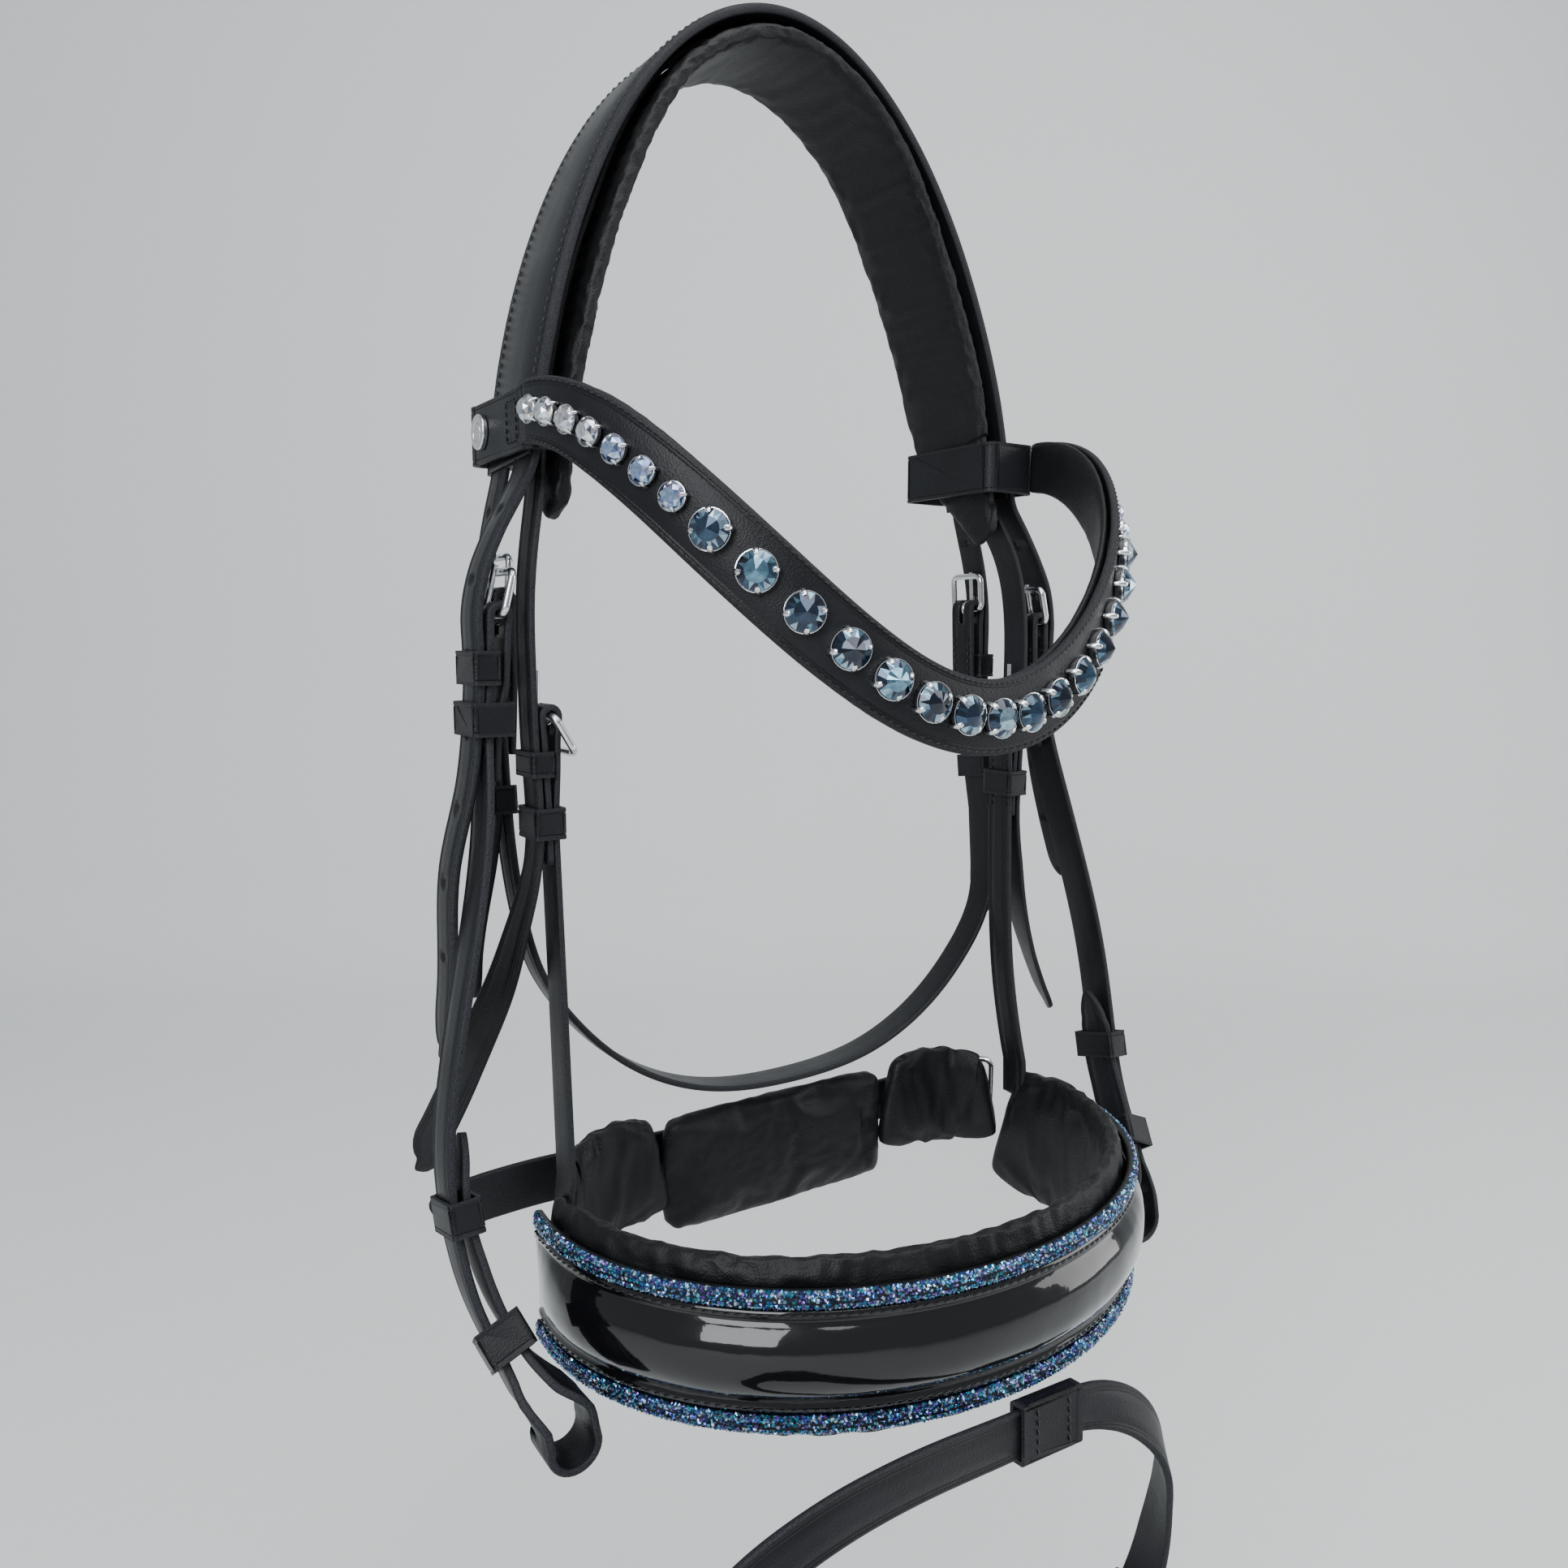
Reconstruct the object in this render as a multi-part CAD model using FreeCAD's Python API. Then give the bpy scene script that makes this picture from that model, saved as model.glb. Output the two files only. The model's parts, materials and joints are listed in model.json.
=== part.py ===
import FreeCAD, Part
import math
import os

# Snaffle bridle, hanging from its crown. Millimetres, +Z up.
# Origin: middle of the poll pad's underside, at its highest point.
# X runs across the bridle (-X is the left strap set), -Y is the front.
# Every strap is a band of flat facets through stations. Left pieces are drawn once
# and mirrored, apart from the loose strap tails, which hang differently.

V = FreeCAD.Vector

# Driving dimensions
ARCH_HALF_WIDTH = 112.0     # half of the outer width of the crown where it hangs
ARCH_TOP = 13.1             # outer face of the crown above the origin
ARCH_BASE = -211.0          # height of the centre of the crown's half ellipse
CROWN_T = 3.6               # crown leather
CROWN_W = 44.0
CROWN_END = -157.0          # lower end of the crown leather, inside the browband loops
PAD_T = 6.5                 # poll padding
PAD_W = 48.0
PAD_END = -172.0            # lower end of the padding's front roll
PAD_ROLL_W = 11.0
TAPER_FROM = 0.84           # share of the arch after which the crown and padding narrow
SLIP_T = 2.2                # noseband strap (sliphead) leather
SLIP_W = 13.0
CHEEK_T = 2.6               # cheekpiece leather
CHEEK_W = 16.0
THROAT_T = 2.4              # throatlash leather
THROAT_W = 13.0
GAP = 0.4                   # air between stacked straps
FOLD_GAP = 0.55             # air between a buckle bar and the leather folded round it
HINGE_GAP = 1.8             # air where a strap bends below the crown
WIRE_R = 1.3                # buckle wire
TONGUE_R = 1.0
TONGUE_PLAY = 0.35
KEEPER_PLAY = 0.45          # air between a keeper and the straps it holds
SLOT_W = 4.4                # slot for the tongue in a folded strap
FRAME_LEN = 14.5            # buckle, bar to bar
HOLE_R = 1.4                # punched strap holes
HOLE_STEP = 25.0

LOOP_Z = -145.0             # middle of the browband loops
LOOP_H = 20.0
LOOP_WALL = 2.2
LOOP_OUT = -112.4           # outer face of the left loop
LOOP_IN = -86.4             # inner face of the left loop
LOOP_FRONT = -32.0
LOOP_REAR = 24.0

BROW_A = 114.0              # browband seen from above: superellipse
BROW_B = 118.0
BROW_Y = -10.0
BROW_POWER = 2.4
BROW_TOP = -144.5           # band height at the loops
BROW_DROP = 95.0            # depth of the swing
BROW_W = 24.0
BROW_T = 3.0
BROW_PAD_T = 3.4
SMALL_STONE_R = 4.1
LARGE_STONE_R = 6.0
STONE_PLAY = 0.32           # air round a stone in its setting
STONE_LIFT = 0.5            # air between the settings and the curved band
FIRST_STONE = 8.0           # first stone from the end of the band
SMALL_STEP = 9.2            # between two small stones

NOSE_A = 116.0              # noseband seen from above: half ellipse
NOSE_B = 100.0
NOSE_Y = -50.0
NOSE_SIDE_Y = -34.0         # where the patent front ends at each side
NOSE_Z_SIDE = -431.5
NOSE_Z_FRONT = -428.0
PATENT_H = 33.0
PATENT_T = 3.2
TRIM_H = 6.0
TRIM_T = 4.0
LINING_H = 57.0
LINING_T = 8.0

BIT_LOOP_R = 6.5            # inside radius of the loop that holds the bit ring
BIT_LOOP_X = -128.0
BIT_LOOP_Y = -84.0
BIT_LOOP_Z = -457.0
BIT_LOOP_SHAVE = 0.15       # the folded end is this much small, then bored to the true radius
BIT_MOUTH_RELIEF = 0.5      # edge relief at the rear mouth of that bore

STUD_R = 6.0                # press stud of the browband loop
STUD_Y = 9.0

CHEEK_BAR = V(-121.5, -21.0, -208.0)
CHEEK_REACH = V(3.5, 0, 14.1)
HOOK_Z = -413.0             # height of the hook stud on the cheekpiece
HOOK_FROM = 150.0           # length of the buckle fold, before the leg that carries the hook
BIT_END = 125.0             # length of the returned end and the bit loop

THROAT_BAR = V(-109.5, 5.0, -202.0)
NOSE_BAR = V(-105.5, -24.0, -241.0)
NOSE_FRAME_REACH = V(7.0, 0, -12.0)
NOSE_STRAP_END = -399.0

CHIN_Y = -6.0
CHIN_T = 9.0
CHIN_Z = -424.0
CHIN_W = 106.0              # centre chin pad
CHIN_H = 47.0

FLASH_T = 2.6
FLASH_W = 15.0
FLASH_BAR = V(34.3, -148.0, -583.0)
FLASH_ALONG = V(0.56, -0.03, 0.828).normalize()
FLASH_INWARD = V(-0.828, 0.0, 0.56).normalize()
FLASH_ACROSS = FLASH_INWARD.cross(FLASH_ALONG)
FLASH_REACH = V(-0.8, 0, -0.6)


def save(name, shape):
    shape.exportStep("parts/" + name + ".step")


def mirrored(shape):
    return shape.mirror(V(0, 0, 0), V(1, 0, 0))


def save_pair(name, shape):
    save("left_" + name, shape)
    save("right_" + name, mirrored(shape))


def chord_parameters(points):
    total = [0.0]
    for a, b in zip(points, points[1:]):
        total.append(total[-1] + (b - a).Length)
    return [t / total[-1] for t in total]


class Strap:
    """A flat strap: stations are (x, y, z, width direction, width)."""

    def __init__(self, stations, thickness, spacing=9.0):
        self.thickness = thickness
        points = [V(*s[:3]) for s in stations]
        parameters = chord_parameters(points)
        self.length = sum((b - a).Length for a, b in zip(points, points[1:]))
        self.centre = Part.BSplineCurve()
        self.centre.interpolate(Points=points, Parameters=parameters)
        self.marks = parameters
        self.turns = [V(*s[3]).normalize() for s in stations]
        self.widths = [s[4] for s in stations]
        self.spacing = spacing

    def between(self, values, t):
        """Value at parameter t, from the two stations on either side of it."""
        for i, mark in enumerate(self.marks[1:]):
            if t <= mark:
                share = (t - self.marks[i]) / (mark - self.marks[i])
                return values[i] * (1 - share) + values[i + 1] * share
        return values[-1]

    def frame_at(self, t):
        """Centre, width direction, face normal and tangent at parameter t."""
        tangent = self.centre.tangent(t)[0]
        across = self.between(self.turns, t)
        across = (across - tangent * across.dot(tangent)).normalize()
        return self.centre.value(t), across, tangent.cross(across), tangent

    def corners(self, t):
        centre, across, normal, _ = self.frame_at(t)
        w = across * (self.between(self.widths, t) / 2.0)
        n = normal * (self.thickness / 2.0)
        return [centre + w + n, centre - w + n, centre - w - n, centre + w - n]

    def solid(self):
        """Closed solid of flat facets between rectangular sections."""
        cuts = [0.0]
        for a, b in zip(self.marks, self.marks[1:]):
            count = max(1, round((b - a) * self.length / self.spacing))
            cuts += [a + (b - a) * (i + 1) / count for i in range(count)]
        points = [corner for t in cuts for corner in self.corners(t)]
        facets = [(2, 1, 0), (3, 2, 0)]
        for ring in range(len(cuts) - 1):
            first = ring * 4
            for k in range(4):
                a, b = first + k, first + (k + 1) % 4
                facets += [(a, b, b + 4), (a, b + 4, a + 4)]
        last = len(points) - 4
        facets += [(last, last + 1, last + 2), (last, last + 2, last + 3)]
        skin = Part.Shape()
        skin.makeShapeFromMesh((points, facets), 0.001)
        solid = Part.Solid(Part.Shell(skin.Faces)).removeSplitter()
        return solid if solid.Volume > 0 else solid.reversed()

    def punched(self, distances):
        """The strap with a ten-sided hole at each distance from its start."""
        solid = self.solid()
        for d in distances:
            centre, across, normal, tangent = self.frame_at(d / self.length)
            ring = []
            for k in range(11):
                a = math.radians(36 * k)
                offset = across * (HOLE_R * math.cos(a)) + tangent * (HOLE_R * math.sin(a))
                ring.append(centre + offset - normal * self.thickness)
            plug = Part.Face(Part.makePolygon(ring)).extrude(normal * (2 * self.thickness))
            solid = solid.cut(plug)
        return solid


def placed(shape, origin, x_dir, y_dir, z_dir):
    """Move a shape drawn in its own axes to origin with the given directions."""
    matrix = FreeCAD.Matrix(x_dir.x, y_dir.x, z_dir.x, origin.x,
                            x_dir.y, y_dir.y, z_dir.y, origin.y,
                            x_dir.z, y_dir.z, z_dir.z, origin.z,
                            0, 0, 0, 1)
    moved = shape.copy()
    moved.Placement = FreeCAD.Placement(matrix)
    return moved


def upright_edges(shape):
    return [e for e in shape.Edges
            if abs(e.tangentAt(e.FirstParameter).z) > 0.99]


def leather_ring(centre, thick, wide, height, across, along, wall=1.2):
    """Rounded ring of leather; thick and wide are its opening."""
    along = V(along).normalize()
    across = (across - along * across.dot(along)).normalize()
    normal = across.cross(along)
    outer = Part.makeBox(thick + 2 * wall, wide + 2 * wall, height,
                         V(-thick / 2 - wall, -wide / 2 - wall, -height / 2))
    outer = outer.makeFillet(1.6, upright_edges(outer))
    inner = Part.makeBox(thick, wide, height + 2, V(-thick / 2, -wide / 2, -height / 2 - 1))
    inner = inner.makeFillet(0.3, upright_edges(inner))
    return placed(outer.cut(inner), centre, normal, across, along)


def keeper(strands, near, along, across, height, wall=1.2):
    """Keeper round the strands (strap, first mm, last mm) that pass the point near."""
    along = V(along).normalize()
    across = (across - along * across.dot(along)).normalize()
    normal = across.cross(along)
    held = []
    for strap, first, last in strands:
        steps = int(last - first)
        for i in range(steps + 1):
            held += strap.corners((first + (last - first) * i / steps) / strap.length)
    offsets = [corner - near for corner in held]
    offsets = [o for o in offsets if abs(o.dot(along)) < height / 2 + 1.0]
    n = [o.dot(normal) for o in offsets]
    w = [o.dot(across) for o in offsets]
    centre = near + normal * ((max(n) + min(n)) / 2) + across * ((max(w) + min(w)) / 2)
    thick = max(n) - min(n) + 2 * KEEPER_PLAY
    wide = max(w) - min(w) + 2 * KEEPER_PLAY
    return leather_ring(centre, thick, wide, height, across, along, wall)


def tongue_slot(bar, across, reach):
    """Cutter for the slot that lets the tongue's eye through a folded strap."""
    box = Part.makeBox(SLOT_W, 12, 14, V(-SLOT_W / 2, -6, -7))
    reach = V(reach).normalize()
    across = (across - reach * across.dot(reach)).normalize()
    return placed(box, bar, across, reach, across.cross(reach))


def buckle_frame(bar, across, reach, width, length=FRAME_LEN, wire=WIRE_R):
    """Rounded rectangular wire frame; it hinges on the bar and reaches away from it."""
    half = width / 2.0
    r = 3.0
    s = math.sqrt(0.5)
    corners = [(half, length), (-half, length), (-half, 0), (half, 0)]
    signs = [(1, 1), (-1, 1), (-1, -1), (1, -1)]
    edges = []
    ends = []
    for (x, y), (sx, sy) in zip(corners, signs):
        middle = V(x - sx * r * (1 - s), y - sy * r * (1 - s), 0)
        on_side = V(x, y - sy * r, 0)
        on_end = V(x - sx * r, y, 0)
        ends.append((on_side, middle, on_end))
    order = []
    for i, (on_side, middle, on_end) in enumerate(ends):
        order.append((on_side, middle, on_end) if i % 2 == 0 else (on_end, middle, on_side))
    for i, (a, m, b) in enumerate(order):
        edges.append(Part.Arc(a, m, b).toShape())
        edges.append(Part.makeLine(b, order[(i + 1) % 4][0]))
    path = Part.Wire(edges)
    start = order[0][0]
    profile = Part.Wire(Part.makeCircle(wire, start, V(0, 1, 0)))
    frame = path.makePipeShell([profile], True, False)
    reach = V(reach).normalize()
    across = (across - reach * across.dot(reach)).normalize()
    return placed(frame, bar, across, reach, across.cross(reach))


def buckle_tongue(bar, across, reach, side, length):
    """Wire tongue: three quarters of a turn around the bar, then a straight stem."""
    r = WIRE_R + TONGUE_PLAY + TONGUE_R
    foot = V(0, 0, r)
    tip = V(0, length, r)
    stem = Part.makeLine(tip, foot)
    eye = Part.Arc(foot, V(0, -r * math.sin(math.pi / 4), -r * math.sin(math.pi / 4)), V(0, r, 0))
    profile = Part.Wire(Part.makeCircle(TONGUE_R, tip, V(0, 1, 0)))
    tongue = Part.Wire([stem, eye.toShape()]).makePipeShell([profile], True, False)
    reach = V(reach).normalize()
    across = (across - reach * across.dot(reach)).normalize()
    normal = across.cross(reach)
    return placed(tongue, bar, across * side, reach, normal * side)


def fold_stations(bar, leg_radius, across, width, start_deg, end_deg, plane_x, plane_z, count=8):
    """Stations round a buckle bar, from start to end angle in the given plane."""
    stations = []
    for i in range(count + 1):
        a = math.radians(start_deg + (end_deg - start_deg) * i / count)
        p = bar + plane_x * (leg_radius * math.cos(a)) + plane_z * (leg_radius * math.sin(a))
        stations.append((p.x, p.y, p.z, across, width))
    return stations


# ---------------------------------------------------------------- headpiece

def arch_station(angle_deg, inset, y):
    """Point on the crown's half ellipse, moved inwards from the outer face."""
    a = math.radians(angle_deg)
    height = ARCH_TOP - ARCH_BASE
    normal = V(-math.sin(a) / ARCH_HALF_WIDTH, 0, math.cos(a) / height).normalize()
    point = V(-ARCH_HALF_WIDTH * math.sin(a), y, ARCH_BASE + height * math.cos(a))
    return point - normal * inset


def arch_angle(z):
    return math.degrees(math.acos((z - ARCH_BASE) / (ARCH_TOP - ARCH_BASE)))


def crown_y(angle_deg):
    """The crown drifts forward as it comes down to the browband."""
    return 7.0 - 11.0 * (angle_deg / 78.0) ** 2


def arch_strap(inset, end_z, width, thickness, end_width, y_shift=0.0, side_inset=0.0):
    """Strap over the poll that narrows to end_width inside the browband loops."""
    end = arch_angle(end_z)
    count = 14
    stations = []
    for i in range(-count, count + 1):
        angle = -end * i / count
        taper = max(0.0, abs(angle) / end - TAPER_FROM) / (1.0 - TAPER_FROM)
        deeper = side_inset * min(1.0, max(0.0, (abs(angle) - 30.0) / 18.0))
        w = width + (end_width - width) * taper
        p = arch_station(angle, inset + deeper, crown_y(abs(angle)) + y_shift * taper)
        stations.append((p.x, p.y, p.z, (0, 1, 0), w))
    return Strap(stations, thickness, 6.0)


def crown_strap():
    return arch_strap(CROWN_T / 2, CROWN_END, CROWN_W, CROWN_T, 40.0).solid()


def crown_padding():
    """Padding that ends below each loop as a narrow roll along its front edge."""
    inset = CROWN_T + GAP + SLIP_T + GAP + PAD_T / 2
    return arch_strap(inset, PAD_END, PAD_W, PAD_T, PAD_ROLL_W, y_shift=-15.0,
                      side_inset=THROAT_T + 2 * GAP).solid()


def sliphead():
    """One strap over the poll, between crown leather and padding, down both sides."""
    inset = CROWN_T + GAP + SLIP_T / 2
    arch = []
    end = arch_angle(-142.0)
    count = 12
    for i in range(-count, count + 1):
        angle = end * i / count
        share = abs(angle) / end
        deeper = (THROAT_T + 2 * GAP) * min(1.0, max(0.0, (abs(angle) - 30.0) / 18.0))
        p = arch_station(angle, inset + deeper, 5.0 - 11.0 * share ** 2)
        arch.append((p.x, p.y, p.z, (0, 1, 0), SLIP_W))
    # the left side hangs like this, from the browband loop to the last keeper
    side = [(-103.0, -14.0, -164.0), (-107.5, -20.0, -180.0), (-110.8, -23.0, -200.0),
            (-111.4, -24.0, -228.0), (-110.8, -24.0, -252.0), (-109.7, -24.0, -276.0)]
    left_tail = [(-110.6, -23.0, -293.0, (0, 1, 0)), (-114.6, -20.0, -312.0, (-0.15, 0.98, 0.1)),
                 (-119.0, -13.0, -334.0, (-0.4, 0.85, 0.25)), (-124.5, -5.0, -354.0, (-0.6, 0.65, 0.35)),
                 (-133.0, 1.0, -377.0, (-0.7, 0.5, 0.4)), (-142.0, 4.5, -396.0, (-0.7, 0.5, 0.4)),
                 (-145.0, 5.5, -402.0, (-0.7, 0.5, 0.4))]
    right_tail = [(109.6, -24.0, -293.0, (0, 1, 0)), (112.0, -24.0, -312.0, (0, 1, 0)),
                  (116.5, -24.0, -334.0, (0.15, 0.98, 0)), (123.5, -24.5, -355.0, (0.3, 0.9, 0.1)),
                  (133.0, -25.5, -376.0, (0.35, 0.88, 0.15)), (136.0, -26.0, -382.0, (0.35, 0.88, 0.15))]
    left = [(x, y, z, (0, 1, 0), SLIP_W) for x, y, z in side]
    right = [(-x, y, z, (0, 1, 0), SLIP_W) for x, y, z in side]
    left += [(x, y, z, w, SLIP_W) for x, y, z, w in left_tail]
    right += [(x, y, z, w, SLIP_W) for x, y, z, w in right_tail]
    for tail in (left, right):
        x, y, z, w, _ = tail[-1]
        tail[-1] = (x, y, z, w, 5.0)
    stations = left[::-1] + arch[::-1] + right
    return Strap(stations, SLIP_T, 6.0)


# ------------------------------------------------------------- cheekpieces

def cheek_billet(tip):
    """Front branch of the headpiece: punched strap tucked down the outside."""
    y_dir = (0, 1, 0)
    points = [(-107.0, -17.0, CROWN_END - HINGE_GAP), (-113.5, -19.0, -170.0), (-120.5, -20.0, -182.0),
              (-125.8, -21.0, -194.0), (-128.5, -21.0, -207.0), (-128.4, -21.0, -219.0),
              (-128.4, -21.0, -230.0), (-129.2, -21.0, -242.0), (-131.8, -20.3, -264.0)]
    stations = [(x, y, z, y_dir, CHEEK_W) for x, y, z in points]
    stations += [(x, y, z, y_dir, CHEEK_W) for x, y, z in tip[:-1]]
    stations.append(tip[-1] + (y_dir, 7.0))
    return Strap(stations, CHEEK_T)


def cheekpiece():
    """Strap from the buckle fold to the bit loop and back up to its tapered end."""
    y_dir = (0, 1, 0)
    fold_r = WIRE_R + FOLD_GAP + CHEEK_T / 2
    back = [(-123.6, -21.0, -262.0), (-123.0, -21.0, -250.0), (-122.0, -21.0, -241.0),
            (-120.0, -21.0, -231.0), (-119.2, -21.0, -221.0), (-118.7, -21.0, -213.0)]
    stations = [(x, y, z, y_dir, CHEEK_W - 1.0) for x, y, z in back]
    stations += fold_stations(CHEEK_BAR, fold_r, y_dir, CHEEK_W, 0, 180, V(1, 0, 0), V(0, 0, 1))
    down = [(-124.9, -21.0, -214.0), (-125.3, -21.0, -226.0), (-126.2, -21.5, -240.0),
            (-127.3, -24.0, -257.0), (-129.5, -28.5, -275.0), (-138.0, -36.0, -315.0),
            (-146.0, -40.0, -350.0), (-150.0, -43.0, -380.0), (-149.5, -48.0, -402.0),
            (-146.5, -57.0, -422.0), (-142.0, -68.0, -437.0), (-138.0, -77.5, -448.0)]
    stations += [(x, y, z, y_dir, CHEEK_W) for x, y, z in down]
    centre = V(BIT_LOOP_X, BIT_LOOP_Y, BIT_LOOP_Z)
    stations += fold_stations(centre, BIT_LOOP_R - BIT_LOOP_SHAVE + CHEEK_T / 2, y_dir, CHEEK_W,
                              165, 380, V(1, 0, 0), V(0, 0, 1), 14)
    up = [(-121.8, -83.0, -448.0), (-128.0, -79.0, -442.0), (-135.0, -71.0, -434.5),
          (-141.5, -60.0, -419.5), (-144.9, -49.5, -401.5), (-146.0, -45.0, -390.0)]
    stations += [(x, y, z, y_dir, CHEEK_W) for x, y, z in up]
    stations.append((-144.5, -42.5, -378.0, y_dir, 9.0))
    stations.append((-143.5, -41.5, -372.0, y_dir, 5.0))
    return Strap(stations, CHEEK_T)


def bit_bore():
    """Round bore of the bit loop, where the bit ring runs, with the rear mouth relieved a little wider."""
    entry = 2.0
    front = V(BIT_LOOP_X, BIT_LOOP_Y - CHEEK_W / 2 - entry, BIT_LOOP_Z)
    rear = V(BIT_LOOP_X, BIT_LOOP_Y + CHEEK_W / 2, BIT_LOOP_Z)
    bore = Part.makeCylinder(BIT_LOOP_R, CHEEK_W + entry, front, V(0, 1, 0))
    mouth = Part.makeCylinder(BIT_LOOP_R + BIT_MOUTH_RELIEF, entry, rear, V(0, 1, 0))
    return bore.fuse(mouth)


def cheek_keepers(billet, piece):
    """Fixed keeper round the billet and the outer leg, sliding keeper round all three."""
    y_dir = V(0, 1, 0)
    upper = keeper([(billet, 50, 110), (piece, 68, 110)], V(-126.8, -21.0, -225.0), V(0, 0, 1), y_dir, 11.0)
    lower = keeper([(billet, 50, 130), (piece, 0, 40), (piece, 68, 130)], V(-126.3, -21.3, -241.5),
                   V(0, 0, 1), y_dir, 11.0)
    return Part.makeCompound([upper, lower])


def bit_keepers(piece):
    """Two keepers that hold the returned end of the cheekpiece."""
    y_dir = V(0, 1, 0)
    end = piece.length
    down = (piece, 190.0, end - BIT_END)
    back = (piece, end - 105.0, end)
    upper = keeper([down, back], V(-147.6, -46.6, -396.0), V(-0.05, 0.25, 1), y_dir, 11.0)
    lower = keeper([down, back], V(-140.8, -66.5, -431.5), V(-0.3, 0.6, 0.72), y_dir, 12.0)
    return Part.makeCompound([upper, lower])


def hook_stud(piece):
    """Round stud on the inside of the cheekpiece, for its returned end to hook over."""
    leg = [d / piece.length for d in range(int(HOOK_FROM), int(piece.length - BIT_END))]
    place = min(leg, key=lambda t: abs(piece.frame_at(t)[0].z - HOOK_Z))
    centre, _, normal, _ = piece.frame_at(place)
    inward = normal if normal.x > 0 else normal * -1
    foot = centre + inward * (CHEEK_T / 2 + GAP)
    base = Part.makeCylinder(2.4, 0.5, foot, inward)
    shank = Part.makeCylinder(0.9, 1.0, foot, inward)
    return base.fuse(shank).removeSplitter()


# -------------------------------------------------------------- throatlash

def throat_billet():
    """Rear branch of the headpiece."""
    points = [(-107.0, 7.0, CROWN_END - HINGE_GAP), (-110.0, 6.5, -170.0), (-113.6, 5.5, -186.0),
              (-115.6, 5.0, -202.0), (-115.2, 4.3, -218.0), (-115.0, 4.0, -232.0),
              (-114.9, 2.5, -250.0), (-114.8, 1.0, -271.0), (-117.0, 2.5, -295.0),
              (-121.0, 5.0, -320.0), (-122.3, 6.0, -337.0)]
    stations = [(x, y, z, (0, 1, 0), THROAT_W) for x, y, z in points]
    stations.append((-122.5, 6.0, -343.0, (0, 1, 0), 6.0))
    return Strap(stations, THROAT_T)


def throatlash():
    """Strap from the left buckle, under the jaw, to the right buckle."""
    fold_r = WIRE_R + FOLD_GAP + THROAT_T / 2
    y_dir = (0, 1, 0)
    left = [(-108.4, 3.6, -256.0), (-107.8, 3.8, -246.0), (-107.1, 4.2, -233.0),
            (-106.8, 4.7, -219.0), (-106.6, 5.0, -208.0)]
    side = [(x, y, z, y_dir, THROAT_W) for x, y, z in left]
    side += fold_stations(THROAT_BAR, fold_r, y_dir, THROAT_W, 0, 180, V(1, 0, 0), V(0, 0, 1))
    down = [(-112.2, 5.0, -209.0), (-111.9, 4.3, -222.0), (-111.8, 3.8, -236.0),
            (-111.7, 2.5, -254.0), (-111.6, 0.8, -271.0), (-111.6, -3.0, -290.0),
            (-110.0, -7.5, -311.0), (-105.5, -11.0, -331.0), (-92.0, -12.0, -352.5),
            (-74.0, -12.0, -370.0), (-40.0, -12.0, -387.0)]
    side += [(x, y, z, y_dir, THROAT_W) for x, y, z in down]
    other = [(-x, y, z, w, s) for x, y, z, w, s in side[::-1]]
    return Strap(side + [(0.0, -12.0, -391.5, y_dir, THROAT_W)] + other, THROAT_T)


def throat_keepers(billet, lash):
    """Keepers round the billet and the outer leg of the throatlash."""
    y_dir = V(0, 1, 0)
    outer_leg = (lash, 60, 140)
    upper = keeper([(billet, 40, 100), outer_leg], V(-113.15, 4.1, -227.0), V(0, 0, 1), y_dir, 10.0)
    lower = keeper([(billet, 80, 140), outer_leg], V(-113.0, 0.9, -272.0), V(0, 0.12, 1), y_dir, 10.0)
    return Part.makeCompound([upper, lower])


# ---------------------------------------------------- noseband side straps

def noseband_side_strap():
    """Fold at the noseband buckle, then down to the noseband."""
    fold_r = WIRE_R + FOLD_GAP + SLIP_T / 2
    y_dir = (0, 1, 0)
    back = [(-106.5, -24.0, -291.0), (-106.6, -24.0, -282.0), (-106.9, -24.0, -271.0),
            (-107.5, -24.0, -260.0), (-108.0, -24.0, -248.0)]
    stations = [(x, y, z, y_dir, SLIP_W) for x, y, z in back]
    stations += fold_stations(NOSE_BAR, fold_r, y_dir, SLIP_W, 180, 0, V(1, 0, 0), V(0, 0, 1))
    down = [(-103.2, -24.0, -249.0), (-103.5, -24.0, -260.0), (-104.1, -24.0, -272.0),
            (-104.1, -24.3, -290.0), (-103.7, -25.5, -320.0), (-103.7, -28.0, -355.0),
            (-104.6, -32.0, -382.0), (-105.6, -35.5, NOSE_STRAP_END)]
    stations += [(x, y, z, y_dir, SLIP_W) for x, y, z in down]
    return Strap(stations, SLIP_T)


def noseband_keepers(side_strap, slip):
    """Fixed keeper round the sliphead tail and the back leg, sliding keeper round all."""
    y_dir = V(0, 1, 0)
    tail = (slip, 60, 200)
    upper = keeper([tail, (side_strap, 0, 45)], V(-109.2, -24.0, -257.0), V(0, 0, 1), y_dir, 8.5, 1.0)
    lower = keeper([tail, (side_strap, 0, 45), (side_strap, 62, 110)], V(-106.6, -24.0, -277.0),
                   V(0, 0, 1), y_dir, 10.5)
    return Part.makeCompound([upper, lower])


# ----------------------------------------------------------------- browband

def brow_point(angle_deg, offset=0.0):
    """Point on the browband; 0 is its left end line, 90 its lowest front point."""
    a = math.radians(angle_deg)
    power = 2.0 / BROW_POWER
    x = -(BROW_A + offset) * math.copysign(abs(math.cos(a)) ** power, math.cos(a))
    y = BROW_Y - (BROW_B + offset) * abs(math.sin(a)) ** power
    return V(x, y, 0)


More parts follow.
